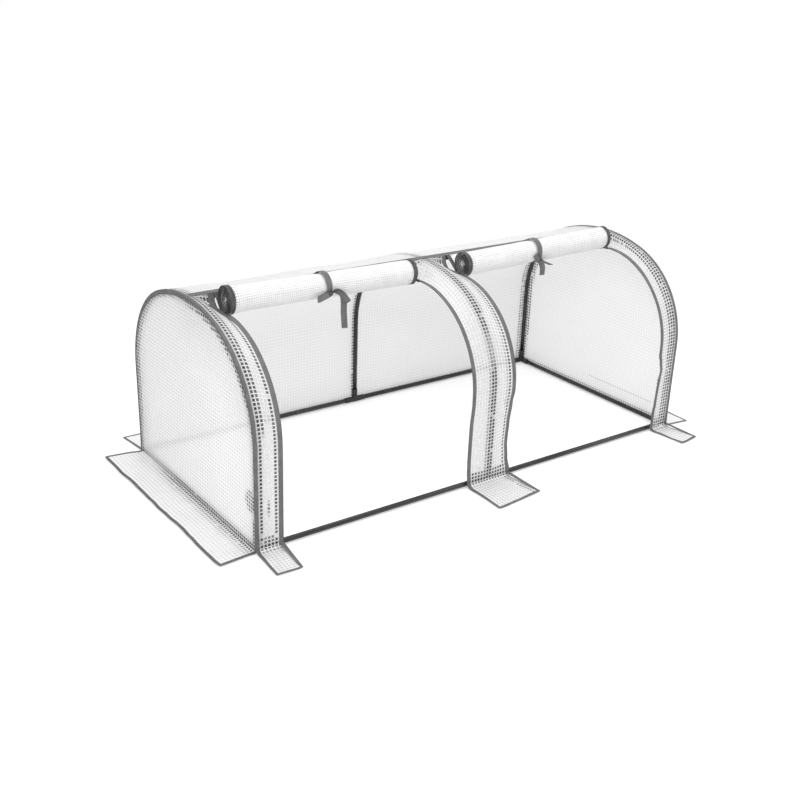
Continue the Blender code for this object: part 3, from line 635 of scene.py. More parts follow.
# A straight tube along its CAD box, along x or y
def addRail(node, axis):
    low, high = (Vector(corner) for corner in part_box(node))
    start = (low + high) / 2
    end = start.copy()
    start[axis], end[axis] = low[axis], high[axis]
    side = sideways if axis else backward
    rounded, share = tubeRadius - tube["rounding"], tube["roundingShare"]
    ends = ((0.0, rounded), (share, tubeRadius), (1 - share, tubeRadius), (1.0, rounded))
    hollow = tubeRadius - tube["wall"]
    tubePiece(node, [(start + (end - start) * s, side, upright, r, hollow) for s, r in ends])


def addTubes():
    for label, x in (("left", -hoopX), ("middle", 0.0), ("right", hoopX)):
        hoop = "hoop_" + label + "_"
        addLeg(hoop + "front_leg", x, -legY)
        addLeg(hoop + "rear_leg", x, legY)
        addArchTube(hoop + "front_arch", x, True)
        addArchTube(hoop + "rear_arch", x, False)
    for kind in ("front_rail_", "rear_rail_", "ridge_tube_", "end_rail_"):
        for side in ("left", "right"):
            addRail(kind + side, 1 if kind == "end_rail_" else 0)


# The outline of a grooved socket, as (distance from the fitting's centre, radius)
socketProfile = ((-0.0095, 0.0085), (-0.0085, 0.0108), (-0.0065, 0.0118), (0.000, 0.0119), (0.0135, 0.0119),
                 (0.0140, 0.0115), (0.0155, 0.0115), (0.0160, 0.0119), (0.0395, 0.0119), (0.0400, 0.0115),
                 (0.0415, 0.0115), (0.0420, 0.0120), (0.0465, 0.0120), (0.0478, 0.0113), (0.0480, 0.0104),
                 (0.0472, 0.0099), (0.0135, 0.0098))
centreRadius = 0.01195


# A moulded fitting: grooved sockets that meet in a rounded centre
def fittingPiece(node, centre, arms):
    points, faces = [], []

    def take(somePoints, someFaces):
        shift = len(points)
        points.extend(somePoints)
        faces.extend(tuple(i + shift for i in face) for face in someFaces)

    for direction in arms:
        side = sideways if abs(direction.x) < 0.5 else backward
        up = direction.cross(side).normalized()
        rings = [ringRound(centre + direction * d, side, up, r) for d, r in socketProfile]
        take(*loft(rings)[:2])
    ball = bmesh.new()
    bmesh.ops.create_icosphere(ball, subdivisions=3, radius=centreRadius)
    take([centre + v.co for v in ball.verts], [tuple(v.index for v in f.verts) for f in ball.faces])
    ball.free()
    addPiece(node + "_socket", points, faces, "socketPlastic", root, "socket", nodes=[node])


def addFittings():
    for label, y, inward in (("front", -legY, backward), ("rear", legY, -backward)):
        for side, x, along in (("left", -hoopX, sideways), ("right", hoopX, -sideways)):
            node = "corner_fitting_" + label + "_" + side
            fittingPiece(node, Vector((x, y, railZ)), [along, inward, upright])
        fittingPiece("tee_fitting_" + label, Vector((0, y, railZ)), [sideways, -sideways, upright])
    ridge, _ = archAt(ridgeRun, tube["inset"])
    reach = max(d for d, _ in socketProfile)
    slopes = [(archAt(ridgeRun + step, tube["inset"])[0] - ridge).normalized() for step in (-reach, reach)]
    fittingPiece("ridge_fitting_left", ridge - sideways * hoopX, [sideways] + slopes)
    fittingPiece("ridge_fitting_middle", ridge, [sideways, -sideways] + slopes)
    fittingPiece("ridge_fitting_right", ridge + sideways * hoopX, [-sideways] + slopes)


addTubes()
addFittings()
print("frame ready")


# The film of the cover

# Each strip runs over its hoop and hangs on its own line at a zip, and its free edges are pushed in
# or out a little by the weight of the film, given as (height, outward) places. Columns are squares
# counted from the mark, which lies at a tape or over a hoop, with the share of the strip's length
# from which and to which they are painted dark as shade, and how dark. The foot's rows of painted
# shade count up from the ground, faded columns are paler at mid height, and the painted dark block
# lies under the ridge and rises into view.
strips = dict(
    left=dict(
        low=-sheetEnd, high=-stripEdge, hoop=-hoopX, mark=-0.9850, seed=1.0,
        pushes={1: ((0.0, 0.0), (1.0, 0.0))},
        columns={0: (0.0, 1.00, 1.0), 1: (0.42, 1.00, 0.95), 2: (0.145, 0.150, 0.8), 4: (0.0, 0.88, 0.95),
                 5: (0.0, 0.50, 0.30)},
        faded=(), foot=(1.0, 0.9, 0.75), block=(0, 5, 0.95), blockRise=(0.083, 0.082)),
    middle=dict(
        low=-bayEdge, high=bayEdge, hoop=0.0, mark=0.0, seed=5.0,
        pushes={-1: ((0.02, -0.002), (0.07, -0.007), (0.11, -0.009), (0.24, -0.007), (0.345, 0.0)),
                1: ((0.03, -0.003), (0.07, -0.016), (0.135, -0.023), (0.22, -0.019), (0.30, -0.010),
                    (0.36, 0.0))},
        columns={-2: (0.0, 0.42, 0.45), -1: (0.0, 1.00, 1.0), 0: (0.0, 1.00, 1.0), 1: (0.66, 1.00, 0.45),
                 4: (0.30, 0.78, 0.40), 5: (0.0, 0.97, 0.95)},
        faded=(-2, -1, 0, 1), foot=(1.0, 0.98, 0.92), block=(-7, 7, 0.8), blockRise=(0.04, 0.02)),
    right=dict(
        low=stripEdge, high=sheetEnd, hoop=hoopX, mark=0.9850, seed=9.0,
        pushes={-1: ((0.083, 0.0), (0.125, 0.004), (0.18, 0.007), (0.237, 0.0105), (0.280, 0.0145),
                     (0.312, 0.0075), (0.345, 0.0))},
        columns={-1: (0.0, 1.00, 1.0), -2: (0.0, 1.00, 1.0), -3: (0.0, 0.92, 0.92)},
        faded=(), foot=(0.95, 0.9, 0.5), block=(-3, -1, 0.8), blockRise=(0.04, 0.02)))
hoopFlat, zipFlat = 0.0145, 0.0145   # flat stretches of a strip, over its hoop and under its zip
footRise = 0.0135                   # height at which a strip turns out into its flap
blockEnd = 0.012                    # how far below the ridge the dark block ends
midFade = dict(share=0.5, starts=(0.45, 0.50), ends=(0.56, 0.62))
stripWave = dict(deep=0.0011, size=0.13, starts=(0.012, 0.04))


# Where a point of a strip stands between its hoop, 0, and the line of its free edge, 1, and how much
# of that edge's push it takes
def edgeShare(look, x):
    bay = 1 if x > look["hoop"] else -1
    edge = look["high"] if bay > 0 else look["low"]
    if bay not in look["pushes"]:
        return 0.0, 0.0, ()
    away, reach = abs(x - look["hoop"]), abs(edge - look["hoop"])
    share = min(max((away - hoopFlat) / (reach - zipFlat - hoopFlat), 0), 1)
    return share * 0.5 + smooth(share, 0, 1) * 0.5, smooth(away, hoopFlat, reach + 0.006), look["pushes"][bay]


def stripPoint(look, x, run, inset=sheetInset):
    share, soft, pushes = edgeShare(look, x)
    over, overOut = archAt(run, inset)
    free, freeOut = edgePath.at(besideRun(run), inset)
    point = over.lerp(free, share)
    if pushes:
        point.y -= between(pushes, point.z) * soft
    wave = ripple(x, run, look["seed"], stripWave["size"]) * stripWave["deep"]
    wave *= smooth(abs(x - look["hoop"]), *stripWave["starts"])
    return point + sideways * x - overOut.lerp(freeOut, share) * wave


# How dark each square of a strip is painted, as painted shade
def stripPaintedShade(look):
    def paintedShade(i, j):
        height = (j + 0.5) * weavePitch
        value = 0.0
        if i in look["columns"]:
            low, high, amount = look["columns"][i]
            share = height / ridgeRun
            value = amount * smooth(share, low - 0.04, low) * (1 - smooth(share, high, high + 0.05))
        if i in look["faded"]:
            faded = smooth(height, *midFade["starts"]) * (1 - smooth(height, *midFade["ends"]))
            value *= 1 - midFade["share"] * faded
        if 1 <= j <= len(look["foot"]):
            value = max(value, look["foot"][j - 1])
        first, last, amount = look["block"]
        if first <= i < last and height < ridgeRun - blockEnd:
            value = max(value, amount * smooth(height, *(ridgeRun - rise for rise in look["blockRise"])))
        return value * speckle(i, j, look["seed"]) if value else 0.0
    return paintedShade


def addStrip(side, look):
    node = "front_strip_" + side
    xs = squareStations(look["low"], look["high"], look["mark"], 2)
    runs = squareStations(footRise, ridgeRun - seamGap, 0.0, 2)

    def place(x, run):
        return stripPoint(look, x, run)

    def squares(x, run):
        return (x - look["mark"]) / weavePitch, run / weavePitch

    return filmSheet(node + "_film", xs, runs, place, squares, "filmOverHoops", root, stripPaintedShade(look),
                     [node])


wall = dict(seed=21.0, belly=0.006, wave=0.005, waveSize=0.16, offHoop=(0.012, 0.12), offGround=(0.0, 0.15),
            offRidge=(0.02, 0.14), overEndHoop=(0.9590, 0.9870), hoopShade=0.8, footShade=0.8, ridgeShade=0.5,
            rows=1.6)


# The rear wall is drawn tight from hoop to hoop and bellies in a little between them
def wallPoint(x, run):
    back = 2 * ridgeRun - run
    hold = smooth(min(abs(abs(x) - hoopX), abs(x)), *wall["offHoop"])
    point, out = archAt(run, sheetInset)
    belly = wall["belly"] * hold * math.sin(math.pi * min(max(back / ridgeRun, 0), 1)) ** 0.7
    hold *= smooth(back, *wall["offGround"]) * smooth(ridgeRun - back, *wall["offRidge"])
    wave = ripple(x, run, wall["seed"], wall["waveSize"]) * wall["wave"] * hold
    return point + sideways * x - out * (belly + wave)


# Painted shade on the rear wall's squares: over the hoops, along its foot and under the ridge
def wallPaintedShade(i, j):
    x, back = abs((i + 0.5) * weavePitch), 2 * ridgeRun - (j + 0.5) * weavePitch
    low, high = wall["overEndHoop"]
    value = wall["hoopShade"] if x < weavePitch or low < x < high else 0.0
    if back < wall["rows"] * weavePitch:
        value = max(value, wall["footShade"])
    if back > ridgeRun - wall["rows"] * weavePitch:
        value = max(value, wall["ridgeShade"])
    return value * speckle(i, j, wall["seed"], 0.7, 0.1) if value else 0.0


def addRearWall():
    xs = squareStations(-sheetEnd, sheetEnd, 0.0, 1)
    runs = squareStations(ridgeRun + seamGap, 2 * ridgeRun - floorGap, 0.0, 1)
    return filmSheet("rear_wall_film", xs, runs, wallPoint, lambda x, run: (x / weavePitch, run / weavePitch),
                     "filmRearWall", root, wallPaintedShade, ["rear_wall"])


# An end panel touches the tube along its rim, the rail at its foot, and the hoop in one loose place,
# and its squares are painted dark there, as painted shade. The reaches say how far in from the rim it
# touches at a height, and so how far the painted shade comes; rim stations lie close, for its curl.
panel = dict(
    markY=-0.4600, markZ=0.0020, plane=0.9996, slack=0.004, slackFrom=0.14, wave=0.006, waveSize=0.20,
    crumple=0.0016, crumpleSize=0.07,
    rearReach=((0.0, 0.030), (0.30, 0.044), (0.60, 0.040), (0.70, 0.028)),
    frontReach=((0.0, 0.0245), (0.10, 0.0245), (0.13, 0.012), (0.50, 0.012), (0.55, 0.027), (0.70, 0.029)),
    loose=dict(y=-0.432, z=0.180, halfWide=0.038, halfTall=0.042),
    rimStations=(0.0008, 0.0022, 0.0048, 0.0090, 0.0190, 0.0310))
panelSides = dict(
    left=dict(sign=-1, finish="filmEndPanel", footRows=(1.0, 0.95), footFade=0.7, seamRow={}),
    right=dict(sign=1, finish="filmRearWall", footRows=(0.5, 0.5), footFade=0.0, seamRow={5: 0.25}))


def panelPaintedShade(look):
    loose = panel["loose"]

    def paintedShade(i, j):
        y = panel["markY"] + (i + 0.5) * weavePitch
        z = panel["markZ"] + (j + 0.5) * weavePitch
        rim = rimDistance(y, z)
        if y > 0:
            reach = between(panel["rearReach"], z)
            value = 0.97 * (1 - smooth(rim, reach - 0.008, reach + 0.004))
            value *= 1 - 0.45 * smooth(z, 0.45, 0.72)
        else:
            reach = between(panel["frontReach"], z)
            away = math.hypot((y - loose["y"]) / loose["halfWide"], (z - loose["z"]) / loose["halfTall"])
            value = max(1 - smooth(rim, reach - 0.002, reach + 0.003), 1 - smooth(away, 0.8, 1.1))
            value = max(value, look["seamRow"].get(j, 0.0))
        if 0 <= j < len(look["footRows"]):
            value = max(value, look["footRows"][j] * (1 - look["footFade"] * smooth(y, 0.10, 0.34)))
        return value * speckle(i, j, 31.0 + look["sign"]) if value > 0.03 else 0.0
    return paintedShade


def addEndPanel(side, look):
    node, sign = "end_panel_" + side, look["sign"]
    ys = squareStations(-halfWidth + seamGap, halfWidth - seamGap, panel["markY"], 1)
    edges = [halfWidth - step for step in panel["rimStations"]]
    ys = sorted(ys + edges + [-y for y in edges])
    ys = [y for k, y in enumerate(ys) if k == 0 or y - ys[k - 1] > 0.0004]
    zs = squareStations(floorGap, ridgeHeight, panel["markZ"], 1)

    def place(y, z):
        z = min(z, archHeight(y) - seamGap)
        rim = max(min(rimDistance(y, z), z), 0)
        wave = ripple(y, z, 41.0 + sign, panel["waveSize"]) * panel["wave"]
        wave += ripple(y * 1.2, z * 0.7, 44.0 + sign, panel["crumpleSize"]) * panel["crumple"]
        sag = (panel["slack"] + wave) * smooth(rim, 0.0, panel["slackFrom"])
        return Vector((sign * (panel["plane"] - sag), y, z))

    def squares(y, z):
        z = min(z, archHeight(y) - seamGap)
        return (y - panel["markY"]) / weavePitch, (z - panel["markZ"]) / weavePitch

    return filmSheet(node + "_film", ys, zs, place, squares, look["finish"], root, panelPaintedShade(look), [node])


stripFilms = {side: addStrip(side, look) for side, look in strips.items()}
rearWall = addRearWall()
endPanels = {side: addEndPanel(side, look) for side, look in panelSides.items()}
print("film ready")


# The grey tapes sewn along the film

# The binding is folded over an end arch. Its reach says how far down the panel it comes at a run,
# widest over the rear shoulder, and its lip how far along the tunnel.
binding = dict(start=0.010, step=0.007, lip=0.0110, lipWave=0.0012, tipWave=0.0010, waveSize=0.05,
               pucker=0.0004, puckerSize=0.018, seamHalf=0.0105,
               reach=((0.0, 0.0085), (0.95, 0.0090), (1.10, 0.0150), (1.35, 0.0160), (1.60, 0.0100),
                      (1.72, 0.0070), (2.00, 0.0065)))


def addBinding(side, sign):
    rings = []
    for run in spread(binding["start"], 2 * ridgeRun - binding["start"], binding["step"]):
        pucker = ripple(run, 0.0, 51.0 + sign, binding["puckerSize"]) * binding["pucker"]
        lip = binding["lip"] + ripple(run, 0.3, 53.0 + sign, binding["waveSize"]) * binding["lipWave"]
        tip = between(binding["reach"], run)
        tip += ripple(run, 0.6, 55.0 + sign, binding["waveSize"]) * binding["tipWave"]
        # Once round the tape's section, as (in from the end, in from the arch)
        section = ((-0.0004, tip), (-0.0013, tip - 0.0015), (-0.0016 - pucker, 0.004), (-0.0014, 0.0000),
                   (-0.0008, -0.0011), (0.0004, -0.0016), (0.007, -0.0018 - pucker), (lip - 0.0015, -0.0014),
                   (lip, -0.0005), (lip - 0.002, -0.0003), (0.002, -0.0003), (-0.0001, 0.0003),
                   (-0.0003, 0.002), (-0.0003, tip - 0.002))
        rings.append([archAt(run, inset)[0] + sideways * sign * (1.0 - inward) for inward, inset in section])
    points, faces, maps = loft(rings, seamHalf=binding["seamHalf"])
    node = "end_binding_" + side
    return addPiece(node + "_tape", points, faces, "tapeWoven", root, "tape", maps, nodes=[node])


# The ridge tape's section, as runs from the ridge, with the tape's underside and top above the film
ridgeTapeLook = dict(end=0.9847, step=0.010, shifts=(-0.0120, -0.0105, -0.004, 0.002, 0.010, 0.0185, 0.0200),
                     under=0.0003, edge=0.0006, top=0.0012, pucker=0.0004, puckerSize=0.03,
                     seamHalf=0.0135)


def addRidgeTape(look):
    rings = []
    first, *inner, last = look["shifts"]
    for x in spread(-look["end"], look["end"], look["step"]):
        pucker = ripple(x, 0.0, 61.0, look["puckerSize"]) * look["pucker"]
        section = [(first, look["edge"] + pucker)] + [(shift, look["top"] + pucker) for shift in inner]
        section += [(last, look["edge"] + pucker)] + [(shift, look["under"]) for shift in reversed(inner)]
        rings.append([archAt(ridgeRun + shift, -rise)[0] + sideways * x for shift, rise in section])
    points, faces, maps = loft(rings, seamHalf=look["seamHalf"])
    return addPiece("ridge_tape_woven", points, faces, "tapeWoven", root, "tape", maps, nodes=["ridge_tape"])


# Each zip's strip edge, the side of it that faces the bay, its strip, and the runs over which its
# tape grows wider, all of them at once
zipEdges = dict(
    left_bay_left=dict(edge=-stripEdge, bay=1, side="left", growth=((0.62, 0.88), (0.86, 0.98))),
    left_bay_right=dict(edge=-bayEdge, bay=-1, side="middle", growth=()),
    right_bay_left=dict(edge=bayEdge, bay=1, side="middle", growth=()),
    right_bay_right=dict(edge=stripEdge, bay=-1, side="right", growth=((0.62, 0.88),)))
zipTape = dict(width=0.0172, wider=0.007, thickness=0.0009, step=0.007, into=-0.003, above=0.0008,
               sway=0.0010, swaySize=0.20, below=0.0003)
zipCoil = dict(off=0.0046, step=0.0009, tall=0.00120, low=0.0009, wider=1.1, sides=6, ends=(0.002, 0.001))


# A zip's middle line along a free edge, with the directions across and out of the film, which are
# measured over a short way on the strip
def zipPlace(look, edge, bay, run, off, across=0.006, along=0.002):
    inset = -zipTape["above"]
    here = stripPoint(look, edge, run, inset)
    wide = (here - stripPoint(look, edge - bay * across, run, inset)).normalized() * bay
    before, after = (stripPoint(look, edge, run + step, inset) for step in (-along, along))
    out = wide.cross((after - before).normalized()).normalized()
    out = -out if out.dot(edgePath.at(besideRun(run))[1]) < 0 else out
    return here + wide * bay * off, wide, out


# One side of a zip: a woven tape with the coil of teeth along its free edge
def addZip(label, look):
    edge, bay, growth, strip = look["edge"], look["bay"], look["growth"], strips[look["side"]]
    top = archCorners[-2] - zipTape["below"]
    places, widths = [], []
    for run in spread(footRise, top, zipTape["step"]):
        sway = ripple(run, edge, 66.0, zipTape["swaySize"]) * zipTape["sway"]
        grown = zipTape["wider"] * math.prod(smooth(run, *span) for span in growth) if growth else 0.0
        widths.append(zipTape["width"] + grown)
        places.append(zipPlace(strip, edge, bay, run, zipTape["into"] - grown / 2 + sway))
    tape = tapeAlong("zip_tape_" + label + "_tape", *zip(*places), widths, zipTape["thickness"], "zipWoven",
                     root, "zip", ["zip_tape_" + label], inset=0.004)
    rings = []
    atFoot, atTop = zipCoil["ends"]
    for k, run in enumerate(spread(footRise + atFoot, top - atTop, zipCoil["step"])):
        centre, wide, out = zipPlace(strip, edge, bay, run, zipCoil["off"])
        radius = zipCoil["tall"] if k % 2 else zipCoil["low"]
        rings.append(ringRound(centre, wide * zipCoil["wider"], out, radius, zipCoil["sides"]))
    points, faces, _ = loft(rings)
    return [tape, addPiece("zip_teeth_" + label, points, faces, "toothPlastic", root, "zip")]


bindings = {side: addBinding(side, look["sign"]) for side, look in panelSides.items()}
ridgeTape = addRidgeTape(ridgeTapeLook)
zips = {label: addZip(label, look) for label, look in zipEdges.items()}
for label in zipEdges:
    for kind, finish in (("slider", "sliderPaint"), ("pull", "pullMetal")):
        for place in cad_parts["zip_" + kind + "_" + label].material_slots:
            place.material = finishes[finish]
print("tapes ready")


# Skirts and flaps on the ground

# A ground sheet is a patch between two fold corners and two outer corners, bound with grey tape
# along its free edges. The corners run: fold start, fold end, outer end, outer start. It leaves the
# cover at a height and curls down to the ground, and its side tapes go over from the cover's tapes:
# start and end give a side tape's width at the fold and how far it hangs past the film there.
skirtCurl = dict(rise=0.004, run=0.008, turnIn=0.006)
flapCurl = dict(rise=footRise, run=0.032, turnIn=0.024)
# rows and columns say how dark the squares along the fold and in single columns are painted, as painted shade
skirt = dict(tape=0.0095, start=(0.0095, 0), end=(0.0095, 0), rows=(0.80, 0.30), columns={}, curl=skirtCurl,
             along=lambda u: 1.0, film="filmOnGround")
flap = dict(skirt, across=0.098, depth=0.164, bow=0.0025, waveSize=0.06, start=(0.0165, 0.006),
            end=(0.0165, 0.006), rows=(0.85, 0.5), curl=flapCurl, film="filmOfFlap")
groundSheets = dict(
    end_skirt_left=dict(
        skirt, corners=((-1.0004, 0.4690), (-1.0004, -0.4690), (-1.1365, -0.4790), (-1.1450, 0.4880)),
        across=0.94, depth=0.140, bow=0.010, seed=71.0, waveSize=0.16, tape=0.0120, start=(0.0120, 0),
        end=(0.0120, 0), mark=0.003, rows=(1.0, 0.55, 0.25),
        along=lambda u: 0.15 + 0.85 * smooth(u, 0.10, 0.30)),
    end_skirt_right=dict(
        skirt, corners=((1.0004, -0.4690), (1.0004, 0.4690), (1.1395, 0.4720), (1.1200, -0.4860)),
        across=0.94, depth=0.132, bow=0.004, seed=75.0, waveSize=0.16, mark=0.003),
    rear_skirt=dict(
        skirt, corners=((1.0, 0.4704), (-1.0, 0.4704), (-1.0150, 0.6230), (1.0040, 0.6380)),
        across=2.0, depth=0.160, bow=0.005, seed=79.0, waveSize=0.22, mark=0.0),
    foot_flap_left=dict(
        flap, corners=((-0.9990, -0.4700), (-0.9020, -0.4700), (-0.9130, -0.6280), (-1.0120, -0.6270)),
        seed=83.0, start=(0.0140, 0.001), mark=0.0140),
    foot_flap_middle=dict(
        flap, corners=((-0.0980, -0.4700), (0.0980, -0.4700), (0.1140, -0.6420), (-0.1100, -0.6660)),
        across=0.196, depth=0.186, bow=0.003, seed=87.0, waveSize=0.07, tape=0.0120, mark=0.0980,
        rows=(0.9, 0.25), columns={5: 0.75}),
    foot_flap_right=dict(
        flap, corners=((0.9020, -0.4700), (0.9990, -0.4700), (1.0200, -0.6230), (0.9120, -0.6400)),
        seed=91.0, tape=0.0120, end=(0.0140, 0.001), mark=0.0830))
onGround = dict(height=0.0012, lift=0.0022, liftedBy=0.05, uneven=1.6, sweepSize=0.25, arc=0.4, fray=0.35,
                fraySize=0.06, seam=0.0008, thickness=0.0019, sideStep=0.008, outerStep=0.012, closest=0.002)


def addGroundSheet(node, look):
    a, b, c, d = (Vector((*corner, 0)) for corner in look["corners"])
    across, depth, curl, seed = look["across"], look["depth"], look["curl"], look["seed"]

    def place(u, v):
        away = v * depth
        bend = math.pi / 2 * min(away / curl["run"], 1)
        level = curl["turnIn"] * (1 - math.cos(bend)) + max(away - curl["run"], 0)
        near, far = a.lerp(b, u), d.lerp(c, u)
        flat = near.lerp(far, level / (curl["turnIn"] + depth - curl["run"]))
        wave = ripple(u * across, 0, seed, onGround["sweepSize"]) + onGround["arc"] * math.sin(math.pi * u)
        wave += onGround["fray"] * ripple(u * across, 3, seed, onGround["fraySize"])
        flat += (far - near).normalized() * look["bow"] * v * wave
        free = min(away / onGround["liftedBy"], 1)
        uneven = onGround["uneven"] * ripple(flat.x, flat.y, seed + 2, look["waveSize"])
        lift = onGround["lift"] * free * (1 + uneven)
        return flat + upright * (onGround["height"] + max(lift, 0) + curl["rise"] * (1 - math.sin(bend)))

    def squares(u, v):
        return (u * across - look["mark"]) / weavePitch, v * depth / weavePitch

    def paintedShade(i, j):
        value = look["rows"][j] if j < len(look["rows"]) else 0.0
        value *= look["along"]((look["mark"] + (i + 0.5) * weavePitch) / across)
        value = max(value, look["columns"].get(i, 0.0))
        return value * speckle(i, j, seed) if value > 0.03 else 0.0

    us = [u / across for u in squareStations(0, across, look["mark"], 1)]
    vs = [v / depth for v in squareStations(0, depth, 0.0, 2)]
    film = filmSheet(node + "_film", us, vs, place, squares, look["film"], None, paintedShade, [node])

    edge = look["tape"]
    outerV, corner = 1 - edge / 2 / depth, edge / 2 - onGround["seam"]

    # Stops of a side tape as (u from its side, v, width)
    def sideStops(wide, over, vs):
        for v in vs:
            share = smooth(v, 0.0, 0.7)
            width, past = wide + (edge - wide) * share, over * (1 - share)
            yield (width / 2 - past - onGround["seam"]) / across, min(v, outerV), width

    # The tape follows the start side and the outer edge, and runs straight along the end side
    stops = list(sideStops(*look["start"], spread(0.0, 1.0, onGround["sideStep"] / depth)))
    outer = spread(corner / across, 1 - corner / across, onGround["outerStep"] / across)[1:-1]
    stops += [(u, 1 - corner / depth, edge) for u in outer]
    stops += [(1 - u, v, width) for u, v, width in sideStops(*look["end"], (1.0, 0.0))]
    line, widths = [], []
    for u, v, width in stops:
        point = place(u, v)
        if not line or (point - line[-1]).length > onGround["closest"]:
            line.append(point)
            widths.append(width)
    outward = (c + d - a - b).normalized()
    steps = [(q - p).normalized() for p, q in zip(line, line[1:])]
    wides, normals = [], []
    for before, after in zip(steps[:1] + steps, steps + steps[-1:]):
        middle = (before + after).normalized()
        facing = upright if abs(middle.z) < 0.6 else outward + upright * 0.3
        side = middle.cross(facing).normalized()
        wides.append(side / max(math.sqrt((1 + before.dot(after)) / 2), 0.5))
        normals.append(side.cross(middle).normalized())
    tape = tapeAlong(node + "_edge", line, wides, normals, widths, onGround["thickness"], "tapeWoven", None,
                     "tape")
    for piece in (film, tape):
        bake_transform(piece)


for node, look in groundSheets.items():
    addGroundSheet(node, look)
print("skirts ready")


# Rolled doors

hinge = Vector((0, -0.012158, 0.76578))
rollCentre = Vector((0, -0.1002, 0.7518))
layered = weavePitch * 0.6          # two layers of film show their grids at once
roll = dict(radius=0.0495, film=0.0006, sewn=(0, -0.0004, -0.0012), approach=8, steps=26, wander=0.002,
            wanderSize=0.30, pinch=0.0025, pinchReach=0.035, flareReach=0.11, lump=0.0014, lumpSize=0.05)
# Push back and lift are given at the low and the high end. A roll winds tighter by its pitch a turn.
doors = dict(
    left=dict(low=-0.8945, high=-0.128, tie=-0.5120, turns=6.4, pitch=0.0078, seed=101.0, push=(0.017, 0.004),
              lift=(0.005, 0.002), recess=0.006, flare=0.0045),
    right=dict(low=0.107, high=0.872, tie=0.4740, turns=4.3, pitch=0.0098, seed=109.0, push=(-0.010, -0.006),
               lift=(0.001, 0.017), recess=0.003, flare=0.001))
doorTape = dict(hem=0.0175, margin=0.004, off=0.008, proud=0.0009, middle=0.0085, slide=0.0016, width=0.0165,
                thickness=0.0013, bead=0.0088, beadWidth=0.0026, beadThickness=0.0024)
# How dark the squares of a roll are painted, as painted shade from the turns around them: the columns from
# its end inward, then the rest
rollShade = dict(columns=(0.55, 0.55, 0.25), least=0.08, more=0.30)


# The direction from a centre, as an angle, in which a line from a point touches the circle
def tangentAngle(point, centre, radius, over):
    away = point - centre
    opening = math.acos(radius / away.length)
    return math.atan2(away.z, away.y) + (opening if over else -opening)


def turnedOut(angle, length=1.0):
    return Vector((0, length * math.cos(angle), length * math.sin(angle)))


# How the roll bends, thins at its tie and lies lumpy along its length
def rollAt(look, x):
    share = (x - look["low"]) / (look["high"] - look["low"])
    shifts = []
    for (start, end), row in ((look["push"], 5), (look["lift"], 0)):
        wander = ripple(x, row, look["seed"], roll["wanderSize"]) * roll["wander"]
        shifts.append(start + (end - start) * share + wander)
    pinch = roll["pinch"] * math.exp(-((x - look["tie"]) / roll["pinchReach"]) ** 2)
    flare = look["flare"] * (1 - smooth(x - look["low"], 0.0, roll["flareReach"]))
    return rollCentre + Vector((0, *shifts)), roll["radius"] - pinch + flare - roll["film"]


# The door from its seam under the roll and into its turns, as points with their outward directions
def doorLine(look, x, proud=0.0):
    centre, radius = rollAt(look, x)
    start = hinge + Vector(roll["sewn"])
    first = tangentAngle(start, centre, radius, over=False)
    landing = centre + turnedOut(first, radius)
    line = [start.lerp(landing, k / roll["approach"]) for k in range(roll["approach"])]
    outs = [turnedOut(first)] * roll["approach"]
    for k in range(int(look["turns"] * roll["steps"]) + 1):
        turn = k / roll["steps"]
        out = turnedOut(first - 2 * math.pi * turn)
        lump = ripple(x * 0.7, out.y * 0.06, look["seed"] + out.z * 0.06, roll["lumpSize"]) * roll["lump"]
        settle = look["pitch"] * turn * (1 - 0.01 * turn)
        line.append(centre + out * (radius - settle + lump * (1 - 0.15 * turn) + proud))
        outs.append(out)
    return line, outs


# One end of a door: a zip tape rolled up with the film, and its bead of teeth
def addDoorEnd(name, look, x, into, body):
    line, outs = doorLine(look, x + into * doorTape["off"], doorTape["proud"])
    steps = len(line)
    for k in range(steps):
        slide = look["recess"] * k / steps + ripple(k * 0.01, x, look["seed"] + 9, 0.06) * doorTape["slide"]
        line[k] = line[k] + sideways * (x + into * (doorTape["middle"] + slide))
    wides = [sideways] * steps
    bead = [p - sideways * into * doorTape["bead"] for p in line]
    return [tapeAlong("door_tape_" + name, line, wides, outs, doorTape["width"], doorTape["thickness"],
                      "layerWoven", body, "zip", inset=0.004),
            tapeAlong("door_teeth_" + name, bead, wides, outs, doorTape["beadWidth"],
                      doorTape["beadThickness"], "toothPlastic", body, "zip")]


def addDoor(side, look):
    body = side + "_door"
    margin, hem = doorTape["margin"], doorTape["hem"]
    xs = squareStations(look["low"] + margin, look["high"] - margin, look["low"] + hem, 1)
    lines = {x: doorLine(look, x)[0] for x in xs}
    middle = lines[xs[len(xs) // 2]]
    runs = [0.0]
    for p, q in zip(middle, middle[1:]):
        runs.append(runs[-1] + (q - p).length)
    last = math.floor((look["high"] - look["low"] - 2 * hem) / layered)

    def squares(x, k):
        low = int(k)
        high = min(low + 1, len(runs) - 1)
        run = runs[low] + (runs[high] - runs[low]) * (k - low)
        return (x - look["low"] - hem) / layered, run / layered

    def paintedShade(i, j):
        near = max(min(i, last - i), 0)
        if near < len(rollShade["columns"]):
            base = rollShade["columns"][near]
        else:
            base = rollShade["least"] + rollShade["more"] * speckle(0, j, look["seed"], 0.0, 0.4)
        return base * speckle(i, j, look["seed"], 0.3, 0.3)

    film = filmSheet("rolled_door_" + side + "_film", xs, list(range(len(middle))),
                     lambda x, k: lines[x][k] + sideways * x, squares, "filmRolled", body, paintedShade,
                     ["rolled_door_" + side])
    trims = addDoorEnd(side + "_left", look, look["low"], 1, body)
    trims += addDoorEnd(side + "_right", look, look["high"], -1, body)


